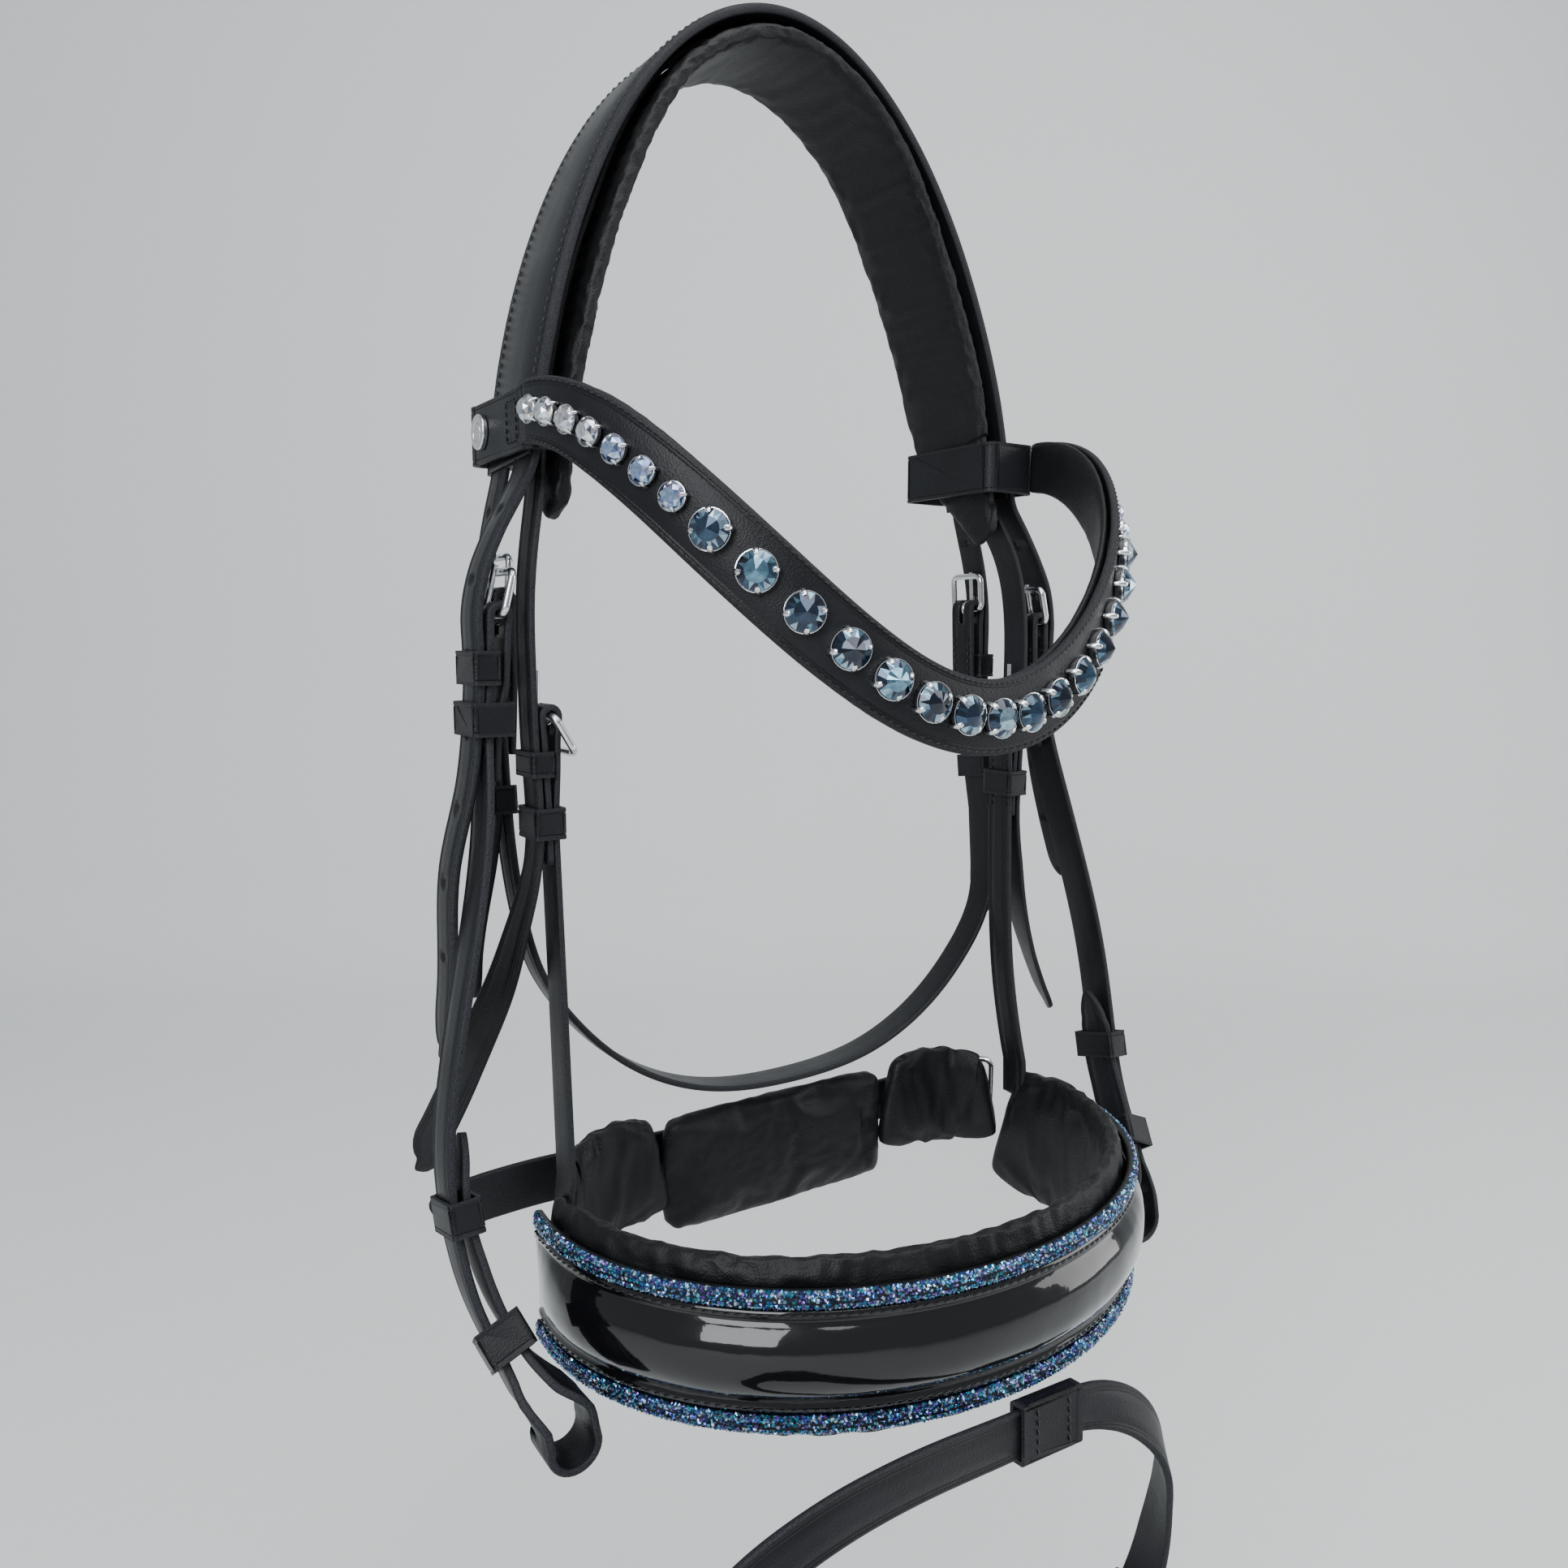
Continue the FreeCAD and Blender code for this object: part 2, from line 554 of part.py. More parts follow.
class BrowPath:
    """Browband centre line, with a smooth drop from each loop to the front."""

    def __init__(self):
        start = self.angle_at_y(LOOP_FRONT - 1.2)
        count = 240
        self.angles = [start + (180.0 - 2 * start) * i / count for i in range(count + 1)]
        flat = [brow_point(a) for a in self.angles]
        self.run = [0.0]
        for a, b in zip(flat, flat[1:]):
            self.run.append(self.run[-1] + (b - a).Length)
        self.half = self.run[-1] / 2.0

    def angle_at_y(self, y):
        low, high = 0.0, 90.0
        for _ in range(40):
            mid = (low + high) / 2
            if brow_point(mid).y > y:
                low = mid
            else:
                high = mid
        return low

    def at(self, s):
        """Position at a plan distance from the left end."""
        i = min(range(len(self.run) - 1), key=lambda k: abs(self.run[k] - s))
        if self.run[i] > s and i > 0:
            i -= 1
        share = (s - self.run[i]) / (self.run[i + 1] - self.run[i])
        angle = self.angles[i] + (self.angles[i + 1] - self.angles[i]) * share
        plan = brow_point(angle)
        nearest = min(s, 2 * self.half - s)
        plan.z = BROW_TOP - BROW_DROP * (1 - math.cos(math.pi * nearest / self.half)) / 2
        return plan

    def frame(self, s):
        """Position, width direction, outward normal and tangent at a plan distance."""
        step = 0.5
        before = self.at(max(0.0, s - step))
        after = self.at(min(2 * self.half - 0.01, s + step))
        tangent = (after - before).normalize()
        normal = V(tangent.y, -tangent.x, 0).normalize()
        if normal.dot(V(self.at(s).x, self.at(s).y - BROW_Y, 0)) < 0:
            normal = normal * -1
        across = normal.cross(tangent).normalize()
        return self.at(s), across, normal, tangent


def browband_strap(path, inset, width, thickness):
    stations = []
    count = 44
    for i in range(count + 1):
        s = (2 * path.half - 0.02) * i / count + 0.01
        centre, across, normal, _ = path.frame(s)
        p = centre - normal * inset
        nearest = min(s, 2 * path.half - s)
        w = LOOP_H + (width - LOOP_H) * min(1.0, nearest / 40.0)
        stations.append((p.x, p.y, p.z, tuple(across), w))
    return Strap(stations, thickness, 4.0).solid()


def stone_row(path):
    """Plan distance and kind of each stone, from both loops to the middle."""
    kinds = ["clear"] * 4 + ["light"] * 3 + ["dark"] * 8
    large_step = (path.half - FIRST_STONE - 6.5 * SMALL_STEP) / 7.5
    steps = [SMALL_STEP] * 6 + [(SMALL_STEP + large_step) / 2] + [large_step] * 7
    left = [(FIRST_STONE + sum(steps[:i]), kind) for i, kind in enumerate(kinds)]
    return left + [(2 * path.half - s, kind) for s, kind in left[:-1]]


def stone(radius, height):
    """Faceted stone: a low crown, a thin girdle and a pointed pavilion."""
    crown = Part.makeCone(radius, radius * 0.12, height * 0.62, V(0, 0, height * 0.12))
    base = Part.makeCone(radius * 0.55, radius, height * 0.5, V(0, 0, -height * 0.5 + height * 0.12))
    return crown.fuse(base).removeSplitter()


def setting(radius, depth):
    """Metal cup with four claws."""
    wall = 0.5
    cup = Part.makeCylinder(radius + STONE_PLAY + wall, depth, V(0, 0, 0))
    hollow = Part.makeCylinder(radius + STONE_PLAY, depth, V(0, 0, 0.4))
    cup = cup.cut(hollow)
    for k in range(4):
        a = math.radians(45 + 90 * k)
        r = radius + STONE_PLAY + wall / 2
        claw = Part.makeCylinder(0.55, depth + 1.2, V(r * math.cos(a), r * math.sin(a), 0))
        inner = Part.makeCylinder(radius + STONE_PLAY - 0.02, depth + 3, V(0, 0, 0.4))
        cup = cup.fuse(claw.cut(inner))
    return cup.removeSplitter()


def browband_stones(path):
    groups = {"clear": [], "light": [], "dark": []}
    cups = {"small": [], "large": []}
    for s, kind in stone_row(path):
        centre, across, normal, tangent = path.frame(s)
        large = kind == "dark"
        radius = LARGE_STONE_R if large else SMALL_STONE_R
        depth = 3.6 if large else 2.8
        base = centre + normal * (BROW_T / 2 + STONE_LIFT)
        gem = placed(stone(radius, 5.2 if large else 3.6), base + normal * (depth - 0.4),
                     tangent, across, normal)
        cup = placed(setting(radius, depth), base, tangent, across, normal)
        groups[kind].append(gem)
        cups["large" if large else "small"].append(cup)
    return groups, cups


def loop_ring():
    """Left loop: front, inner and rear walls, open on the outside for the flap."""
    depth = LOOP_REAR - LOOP_FRONT
    outer = Part.makeBox(LOOP_IN - LOOP_OUT, depth, LOOP_H, V(LOOP_OUT, LOOP_FRONT, LOOP_Z - LOOP_H / 2))
    outer = outer.makeFillet(5.0, upright_edges(outer))
    inner = Part.makeBox(LOOP_IN - LOOP_OUT - 2 * LOOP_WALL, depth - 2 * LOOP_WALL, LOOP_H + 2,
                         V(LOOP_OUT + LOOP_WALL, LOOP_FRONT + LOOP_WALL, LOOP_Z - LOOP_H / 2 - 1))
    inner = inner.makeFillet(3.0, upright_edges(inner))
    ring = outer.cut(inner)
    doorway = Part.makeBox(LOOP_WALL + 1.0, depth - 14.0, LOOP_H + 2,
                           V(LOOP_OUT - 0.5, LOOP_FRONT + 7.0, LOOP_Z - LOOP_H / 2 - 1))
    return ring.cut(doorway)


def loop_flap():
    """Outer wall of the left loop; it opens on its front edge."""
    depth = LOOP_REAR - LOOP_FRONT - 14.0 - 1.2
    flap = Part.makeBox(LOOP_WALL, depth, LOOP_H, V(LOOP_OUT, LOOP_FRONT + 7.6, LOOP_Z - LOOP_H / 2))
    return flap.makeFillet(0.5, flap.Edges)


def press_stud():
    base = V(LOOP_OUT - GAP, STUD_Y, LOOP_Z)
    cap = Part.makeCylinder(STUD_R, 1.8, base, V(-1, 0, 0))
    cap = cap.makeFillet(0.7, [e for e in cap.Edges if abs(e.BoundBox.XMin - (base.x - 1.8)) < 0.01
                               and e.BoundBox.XLength < 0.01])
    groove = Part.makeTorus(STUD_R * 0.55, 0.35, base + V(-1.8, 0, 0), V(1, 0, 0))
    return cap.cut(groove)


# ----------------------------------------------------------------- noseband

def nose_path(offset, y_end):
    """Plan points of the noseband ring from its left end round the front."""
    a = NOSE_A + offset
    b = NOSE_B + offset
    points = []
    if y_end > NOSE_Y:
        steps = 4
        for i in range(steps):
            y = y_end + (NOSE_Y - y_end) * i / steps
            slack = (y - NOSE_Y) / 40.0
            points.append(V(-a + 6.0 * slack * slack, y, 0))
    count = 28
    for i in range(count + 1):
        angle = math.pi * i / count
        points.append(V(-a * math.cos(angle), NOSE_Y - b * math.sin(angle), 0))
    mirror = [V(-p.x, p.y, 0) for p in points[:len(points) - count - 1]]
    return points + mirror[::-1]


def nose_z(y):
    share = min(1.0, max(0.0, (NOSE_SIDE_Y - y) / (NOSE_SIDE_Y - NOSE_Y + NOSE_B)))
    return NOSE_Z_SIDE + (NOSE_Z_FRONT - NOSE_Z_SIDE) * share


def nose_band(offset, y_end, lift, height, thickness, end_height=None):
    points = nose_path(offset, y_end)
    stations = []
    last = len(points) - 1
    for i, p in enumerate(points):
        h = height
        if end_height is not None:
            edge = min(i, last - i)
            h = end_height + (height - end_height) * min(1.0, edge / 3.0)
        stations.append((p.x, p.y, nose_z(p.y) + lift, (0, 0, 1), h))
    return Strap(stations, thickness, 9.0).solid()


def noseband_patent():
    return nose_band(0.0, NOSE_SIDE_Y, 0.0, PATENT_H, PATENT_T, 30.0)


def noseband_trims():
    lift = (PATENT_H + TRIM_H) / 2 + 0.3
    upper = nose_band(0.4, NOSE_SIDE_Y, lift, TRIM_H, TRIM_T)
    lower = nose_band(0.4, NOSE_SIDE_Y, -lift, TRIM_H, TRIM_T)
    return upper, lower


def noseband_lining():
    inset = PATENT_T / 2 + LINING_T / 2 + 1.2
    return nose_band(-inset, NOSE_SIDE_Y + 6.0, 0.5, LINING_H, LINING_T, 46.0)


# --------------------------------------------------- chin pads and closure

def chin_pad_centre():
    corner = V(-CHIN_W / 2, CHIN_Y - CHIN_T / 2, CHIN_Z - CHIN_H / 2)
    pad = Part.makeBox(CHIN_W, CHIN_T, CHIN_H, corner)
    return pad.makeFillet(3.5, pad.Edges)


def chin_pad_left():
    """Side pad of the closure, from the noseband's end to the centre pad."""
    stations = [(-101.0, -25.5, -418.0, (0, 0, 1), 34.0), (-96.0, -19.0, -418.0, (0, 0, 1), 40.0),
                (-84.0, -12.0, -417.0, (0, 0, 1), 43.0), (-70.0, -9.0, -417.0, (0, 0, 1), 42.0),
                (-55.0, -8.0, -417.0, (0, 0, 1), 36.0)]
    return Strap(stations, 8.0, 6.0).solid()


def crank_strap():
    """Strap that closes the noseband behind the chin pads, with its free end on the left."""
    z_dir = (0, 0, 1)
    points = [(104.5, -13.0, -419.0), (97.0, -3.5, -419.0), (84.0, 1.5, -419.0), (60.0, 3.0, -420.0),
              (0.0, 3.6, -420.0), (-60.0, 3.0, -418.0), (-84.0, 2.5, -417.0), (-100.0, 3.5, -417.0),
              (-112.0, 6.0, -418.5), (-124.0, 9.5, -421.0)]
    stations = [(x, y, z, z_dir, 18.0) for x, y, z in points]
    stations.append((-132.0, 12.0, -423.0, z_dir, 16.0))
    stations.append((-137.0, 13.5, -424.0, z_dir, 8.0))
    return Strap(stations, 2.8, 7.0).solid()


def crank_roller():
    """Roller buckle of the closure: wire frame at the right end of the crank strap."""
    return buckle_frame(V(112.5, -14.0, -419.0), V(0, 0, 1), V(-8.0, 11.0, 0), 24.0, 13.0, 1.5)


# ------------------------------------------------------------ flash strap

def flash_leg(distances, inward):
    """Stations beside the flash buckle, at distances up the strap from the bar."""
    stations = []
    for along in distances:
        p = FLASH_BAR + FLASH_ALONG * along + FLASH_INWARD * inward
        stations.append((p.x, p.y, p.z, FLASH_ACROSS, FLASH_W))
    return stations


def flash_strap():
    """Loop of strap through the flash keeper, closed by a buckle at the bottom."""
    fold_r = WIRE_R + FOLD_GAP + FLASH_T / 2
    tail_offset = fold_r + FLASH_T + 0.6
    stations = flash_leg([24.0], 0.2) + flash_leg([14.0], 1.2) + flash_leg([6.0], 2.6)
    stations += fold_stations(FLASH_BAR, fold_r, FLASH_ACROSS, FLASH_W, 0, 180,
                              FLASH_INWARD, FLASH_ALONG * -1)
    stations += flash_leg([6.0, 14.0, 24.0, 35.0, 45.0], -fold_r)
    loop = [
        (65.2, -151.5, -530.5, (0.2, 0.95, 0.1)), (65.0, -154.0, -513.0, (0.45, 0.85, 0.2)),
        (62.0, -156.0, -495.5, (0.5, 0.68, 0.4)), (52.5, -156.0, -480.0, (0.4, 0.5, 0.7)),
        (37.0, -155.6, -468.5, (0.2, 0.3, 0.9)), (21.0, -155.2, -463.2, (0.0, 0.1, 1)),
        (5.0, -155.2, -462.0, (0, 0.1, 1)), (-12.0, -155.4, -461.2, (0, 0.1, 1)),
        (-40.0, -157.5, -457.5, (-0.05, 0.12, 1)), (-69.0, -160.0, -455.0, (-0.1, 0.15, 1)),
        (-94.0, -161.0, -457.0, (-0.25, 0.2, 1)), (-116.0, -158.0, -469.0, (-0.5, 0.25, 0.8)),
        (-130.0, -156.0, -489.0, (-0.72, 0.35, 0.5)), (-134.0, -154.0, -513.0, (-0.75, 0.5, 0.3)),
        (-127.0, -151.5, -540.0, (-0.6, 0.7, 0.15)), (-106.0, -149.0, -568.0, (-0.4, 0.88, 0.0)),
        (-74.0, -147.5, -589.0, (-0.2, 0.97, 0.0)), (-40.0, -147.5, -599.5, (0, 1, 0)),
        (-8.0, -147.7, -604.5, (0, 1, 0)), (18.0, -147.8, -602.0, (0, 1, 0))]
    stations += [(x, y, z, V(across), FLASH_W) for x, y, z, across in loop]
    stations += flash_leg([0.0, 14.0, 24.0, 35.0, 47.0], -tail_offset)
    tip = flash_leg([55.0], -tail_offset)[0]
    stations.append(tip[:4] + (6.0,))
    return Strap(stations, FLASH_T, 7.0)


def flash_loop(strap):
    """Stitched leather keeper under the front of the noseband."""
    middle = (strap, 150.0, 260.0)
    return keeper([middle], V(5.0, -155.2, -462.0), V(1, 0, -0.06), V(0, 0.1, 1), 26.0, 1.4)


def flash_keeper(strap):
    near = FLASH_BAR + FLASH_ALONG * 37.0
    return keeper([(strap, 50, 110), (strap, strap.length - 40, strap.length)], near,
                  FLASH_ALONG, FLASH_ACROSS, 11.0)


def cheek_side(name, tip, flip):
    """Billet, cheekpiece and keepers of one side; flip mirrors them to the right."""
    side = mirrored if flip else (lambda shape: shape)
    billet = cheek_billet(tip)
    piece = cheekpiece()
    slot = tongue_slot(CHEEK_BAR, V(0, 1, 0), V(0, 0, 1))
    save(name + "_cheek_billet", side(billet.punched([18.0 + HOLE_STEP * i for i in range(7)])))
    save(name + "_cheekpiece", side(piece.solid().cut(slot).cut(bit_bore())))
    save(name + "_cheek_keepers", side(cheek_keepers(billet, piece)))
    save(name + "_bit_keepers", side(bit_keepers(piece)))
    save(name + "_hook_stud", side(hook_stud(piece)))


def save_cheeks():
    left_tip = [(-137.4, -18.6, -290.0), (-139.0, -18.0, -325.0), (-141.0, -18.0, -348.0),
                (-141.7, -18.0, -354.0)]
    right_tip = [(-138.0, -21.0, -290.0), (-142.5, -23.0, -308.0), (-146.5, -24.0, -321.0),
                 (-148.0, -24.0, -326.0)]
    cheek_side("left", left_tip, False)
    cheek_side("right", right_tip, True)
    y_dir = V(0, 1, 0)
    save_pair("cheek_buckle", buckle_frame(CHEEK_BAR, y_dir, CHEEK_REACH, 21.5))
    save_pair("cheek_tongue", buckle_tongue(CHEEK_BAR, y_dir, CHEEK_REACH, -1, 16.2))


def save_throatlash():
    y_dir = V(0, 1, 0)
    reach = V(1.0, 0, 14.0)
    billet = throat_billet()
    lash = throatlash()
    slot = tongue_slot(THROAT_BAR, y_dir, V(0, 0, 1))
    save_pair("throat_billet", billet.punched([14.0 + HOLE_STEP * i for i in range(4)]))
    save("throatlash_strap", lash.solid().cut(slot).cut(mirrored(slot)))
    save_pair("throat_keepers", throat_keepers(billet, lash))
    frame = buckle_frame(THROAT_BAR, y_dir, reach, 17.5)
    tongue = buckle_tongue(THROAT_BAR, y_dir, reach, -1, 16.2)
    save_pair("throat_buckle", Part.makeCompound([frame, tongue]))


def save_noseband_straps():
    y_dir = V(0, 1, 0)
    slip = sliphead()
    side_strap = noseband_side_strap()
    slot = tongue_slot(NOSE_BAR, y_dir, V(0, 0, 1))
    save("sliphead_strap", slip.solid())
    save_pair("noseband_side_strap", side_strap.solid().cut(slot))
    save_pair("noseband_keepers", noseband_keepers(side_strap, slip))
    save_pair("noseband_buckle", buckle_frame(NOSE_BAR, y_dir, NOSE_FRAME_REACH, 17.5))
    save_pair("noseband_tongue", buckle_tongue(NOSE_BAR, y_dir, V(0.3, 0, 17.0), -1, 15.0))


def save_browband():
    path = BrowPath()
    save("browband_leather", browband_strap(path, 0.0, BROW_W, BROW_T))
    save("browband_lining", browband_strap(path, (BROW_T + BROW_PAD_T) / 2 + 0.6, BROW_W - 1.0, BROW_PAD_T))
    groups, cups = browband_stones(path)
    save("clear_stones", Part.makeCompound(groups["clear"]))
    save("light_blue_stones", Part.makeCompound(groups["light"]))
    save("dark_blue_stones", Part.makeCompound(groups["dark"]))
    save("small_settings", Part.makeCompound(cups["small"]))
    save("large_settings", Part.makeCompound(cups["large"]))
    save_pair("browband_loop", loop_ring())
    save_pair("loop_flap", loop_flap())
    save_pair("press_stud", press_stud())


def save_noseband():
    save("noseband_patent", noseband_patent())
    upper, lower = noseband_trims()
    save("upper_crystal_trim", upper)
    save("lower_crystal_trim", lower)
    save("noseband_lining", noseband_lining())
    save("centre_chin_pad", chin_pad_centre())
    save_pair("chin_side_pad", chin_pad_left())
    save("crank_strap", crank_strap())
    save("crank_roller", crank_roller())


def save_flash():
    strap = flash_strap()
    last = strap.length - 22.0
    solid = strap.punched([last - HOLE_STEP * i for i in range(3)])
    save("flash_strap", solid.cut(tongue_slot(FLASH_BAR, FLASH_ACROSS, FLASH_ALONG)))
    save("flash_loop", flash_loop(strap))
    save("flash_keeper", flash_keeper(strap))
    save("flash_buckle", buckle_frame(FLASH_BAR, FLASH_ACROSS, FLASH_REACH, 20.5))
    save("flash_tongue", buckle_tongue(FLASH_BAR, FLASH_ACROSS, FLASH_REACH, 1, 14.6))


def make_parts():
    os.makedirs("parts", exist_ok=True)
    save("crown_strap", crown_strap())
    save("crown_padding", crown_padding())
    save_cheeks()
    save_throatlash()
    save_noseband_straps()
    save_browband()
    save_noseband()
    save_flash()


make_parts()
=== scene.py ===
"""Visual model of a padded snaffle bridle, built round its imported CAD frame."""

import json
import math
import random

import bmesh
import bpy
import numpy as np
from mathutils import Matrix, Vector, noise

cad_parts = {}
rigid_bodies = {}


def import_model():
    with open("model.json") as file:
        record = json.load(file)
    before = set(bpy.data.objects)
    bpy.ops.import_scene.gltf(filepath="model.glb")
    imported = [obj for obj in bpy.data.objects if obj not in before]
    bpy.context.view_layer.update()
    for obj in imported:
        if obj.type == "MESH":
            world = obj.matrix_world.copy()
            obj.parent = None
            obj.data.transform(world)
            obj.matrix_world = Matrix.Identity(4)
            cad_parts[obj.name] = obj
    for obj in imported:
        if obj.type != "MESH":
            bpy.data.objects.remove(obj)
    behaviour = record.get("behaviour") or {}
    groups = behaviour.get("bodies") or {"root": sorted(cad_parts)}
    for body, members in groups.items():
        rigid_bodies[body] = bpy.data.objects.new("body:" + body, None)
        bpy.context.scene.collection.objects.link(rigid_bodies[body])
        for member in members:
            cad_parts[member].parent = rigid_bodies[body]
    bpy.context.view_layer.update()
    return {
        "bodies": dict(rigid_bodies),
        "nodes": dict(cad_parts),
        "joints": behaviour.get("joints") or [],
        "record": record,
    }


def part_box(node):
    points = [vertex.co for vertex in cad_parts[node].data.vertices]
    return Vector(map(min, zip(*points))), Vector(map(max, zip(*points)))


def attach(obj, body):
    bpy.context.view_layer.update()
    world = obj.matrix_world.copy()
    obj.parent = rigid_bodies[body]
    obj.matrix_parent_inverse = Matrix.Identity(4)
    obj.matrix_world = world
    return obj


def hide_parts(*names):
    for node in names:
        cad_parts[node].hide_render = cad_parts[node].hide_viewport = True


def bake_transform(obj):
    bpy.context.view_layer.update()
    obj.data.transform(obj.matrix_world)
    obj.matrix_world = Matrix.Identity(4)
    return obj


MM = 0.001
SIDES = (("left", -1.0), ("right", 1.0))
SHARP = math.radians(40)        # faces that meet at more than this make a sharp edge
STRAIGHT = math.radians(45)     # a long edge of a strap turns less than this at each point
BORED_STRAIGHT = math.radians(68)   # the same, on a cheekpiece with its tight bit loop
STEP = 1.6 * MM                 # ring spacing along a strap
PAD_STEP = 2.2 * MM             # ring spacing along padding
COLUMN = 1.6 * MM               # half width of the middle columns, where holes are cut
HOLE_R = 1.4 * MM
TIP_LENGTH = 13 * MM            # length of a strap's pointed end
CAMERA_PLACE = (-0.2614, -0.404, -0.215)
CAMERA_RIGHT = Vector((0.8337, -0.5521, 0.0041))
CAMERA_UP = Vector((0.0656, 0.1022, 0.9928))
CAMERA_LENS = 27.58             # millimetres, on a 36 mm sensor
FLOOR_Z = -0.72
GROOVE_DEPTH = 0.3 * MM         # pressed lines of keepers and loops
CLOTH_FRAMES = 18               # length of each padding simulation
CROWN_BRANCH = -149 * MM        # height below which the billets branch off the crown


# ------------------------------------------------------------------ materials

def new_material(name, colour, roughness, metallic=0.0):
    material = bpy.data.materials.new(name)
    material.use_nodes = True
    shader = material.node_tree.nodes["Principled BSDF"]
    shader.inputs["Base Color"].default_value = (*colour, 1)
    shader.inputs["Roughness"].default_value = roughness
    shader.inputs["Metallic"].default_value = metallic
    return material, material.node_tree, shader


def add_node(tree, kind, **inputs):
    node = tree.nodes.new(kind)
    for key, value in inputs.items():
        node.inputs[key.replace("_", " ")].default_value = value
    return node


def coordinates(tree):
    return tree.nodes.new("ShaderNodeTexCoord").outputs["Object"]


def noise_texture(tree, scale, detail=3.0, rough=0.55):
    node = add_node(tree, "ShaderNodeTexNoise", Scale=scale, Detail=detail, Roughness=rough)
    tree.links.new(coordinates(tree), node.inputs["Vector"])
    return node.outputs["Fac"]


def cells(tree, scale):
    node = add_node(tree, "ShaderNodeTexVoronoi", Scale=scale)
    tree.links.new(coordinates(tree), node.inputs["Vector"])
    return node.outputs["Distance"]


def remap(tree, value, low, high, new_low, new_high):
    node = tree.nodes.new("ShaderNodeMapRange")
    tree.links.new(value, node.inputs["Value"])
    for key, number in (("From Min", low), ("From Max", high), ("To Min", new_low), ("To Max", new_high)):
        node.inputs[key].default_value = number
    return node.outputs["Result"]


def mix_colour(tree, factor, first, second):
    node = tree.nodes.new("ShaderNodeMix")
    node.data_type = "RGBA"
    tree.links.new(factor, node.inputs["Factor"])
    for key, value in (("A", first), ("B", second)):
        socket = [i for i in node.inputs if i.name == key and i.type == "RGBA"][0]
        if isinstance(value, tuple):
            socket.default_value = (*value, 1)
        else:
            tree.links.new(value, socket)
    return [o for o in node.outputs if o.type == "RGBA"][0]


def combine(tree, operation, first, second):
    node = tree.nodes.new("ShaderNodeMath")
    node.operation = operation
    for socket, value in zip(node.inputs, (first, second)):
        if isinstance(value, float):
            socket.default_value = value
        else:
            tree.links.new(value, socket)
    return node.outputs["Value"]


def attribute(tree, name, output="Fac"):
    node = tree.nodes.new("ShaderNodeAttribute")
    node.attribute_name = name
    return node.outputs[output]


def bump(tree, shader, height, distance, strength=1.0, coat=False):
    node = add_node(tree, "ShaderNodeBump", Distance=distance, Strength=strength)
    tree.links.new(height, node.inputs["Height"])
    tree.links.new(node.outputs["Normal"], shader.inputs["Normal"])
    if coat:
        tree.links.new(node.outputs["Normal"], shader.inputs["Coat Normal"])


def leather(name, colour, roughness, pore_scale, pore_depth, crumple=0.0):
    """Grained leather with paler, drier cut edges and painted shade in its pressed grooves and hole rims."""
    material, tree, shader = new_material(name, colour, roughness)
    edge = attribute(tree, "edge")
    recess_shade = attribute(tree, "recess_shade")
    cloudy = noise_texture(tree, 28.0, 4.0)
    pores = cells(tree, pore_scale)
    fibres = noise_texture(tree, 2600.0, 2.0)
    pale = tuple(c * 1.5 + 0.001 for c in colour)
    face = mix_colour(tree, remap(tree, cloudy, 0.35, 0.7, 0, 1), colour, pale)
    cut = mix_colour(tree, remap(tree, fibres, 0.4, 0.62, 0, 1),
                     tuple(c * 1.2 for c in colour), tuple(c * 3.0 + 0.008 for c in colour))
    dry = mix_colour(tree, edge, face, cut)
    # Painted shade: the marked grooves and hole rims are darkened to under half the leather colour.
    dark = mix_colour(tree, recess_shade, dry, tuple(c * 0.45 for c in colour))
    tree.links.new(dark, shader.inputs["Base Color"])
    rough = remap(tree, cloudy, 0.3, 0.75, roughness - 0.07, roughness + 0.09)
    worn = combine(tree, "MULTIPLY", edge, 0.22)
    tree.links.new(combine(tree, "ADD", rough, worn), shader.inputs["Roughness"])
    shader.inputs["Specular IOR Level"].default_value = 0.25
    height = combine(tree, "ADD", combine(tree, "MULTIPLY", pores, 0.7),
                     combine(tree, "MULTIPLY", fibres, 0.35))
    if crumple:
        soft = noise_texture(tree, 210.0, 4.0, 0.6)
        height = combine(tree, "ADD", height, combine(tree, "MULTIPLY", soft, crumple))
    bump(tree, shader, height, pore_depth)
    return material


def patent_leather():
    material, tree, shader = new_material("patent_leather", (0.0035, 0.0035, 0.0045), 0.16)
    shader.inputs["Coat Weight"].default_value = 1.0
    shader.inputs["Coat Roughness"].default_value = 0.03
    shader.inputs["Coat IOR"].default_value = 1.42
    shader.inputs["Specular IOR Level"].default_value = 0.1
    swell = noise_texture(tree, 38.0, 2.0, 0.4)
    peel = noise_texture(tree, 420.0, 1.0)
    height = combine(tree, "ADD", swell, combine(tree, "MULTIPLY", peel, 0.018))
    bump(tree, shader, height, 0.0011, 1.0, coat=True)
    return material


def nickel(name, colour, roughness):
    material, tree, shader = new_material(name, colour, roughness, 1.0)
    scuffs = noise_texture(tree, 260.0, 5.0, 0.7)
    tree.links.new(remap(tree, scuffs, 0.3, 0.75, roughness * 0.6, roughness * 1.9),
                   shader.inputs["Roughness"])
    tint = tuple(c * 0.8 for c in colour)
    tree.links.new(mix_colour(tree, remap(tree, scuffs, 0.5, 0.8, 0, 1), colour, tint),
                   shader.inputs["Base Color"])
    bump(tree, shader, scuffs, 0.00002)
    return material


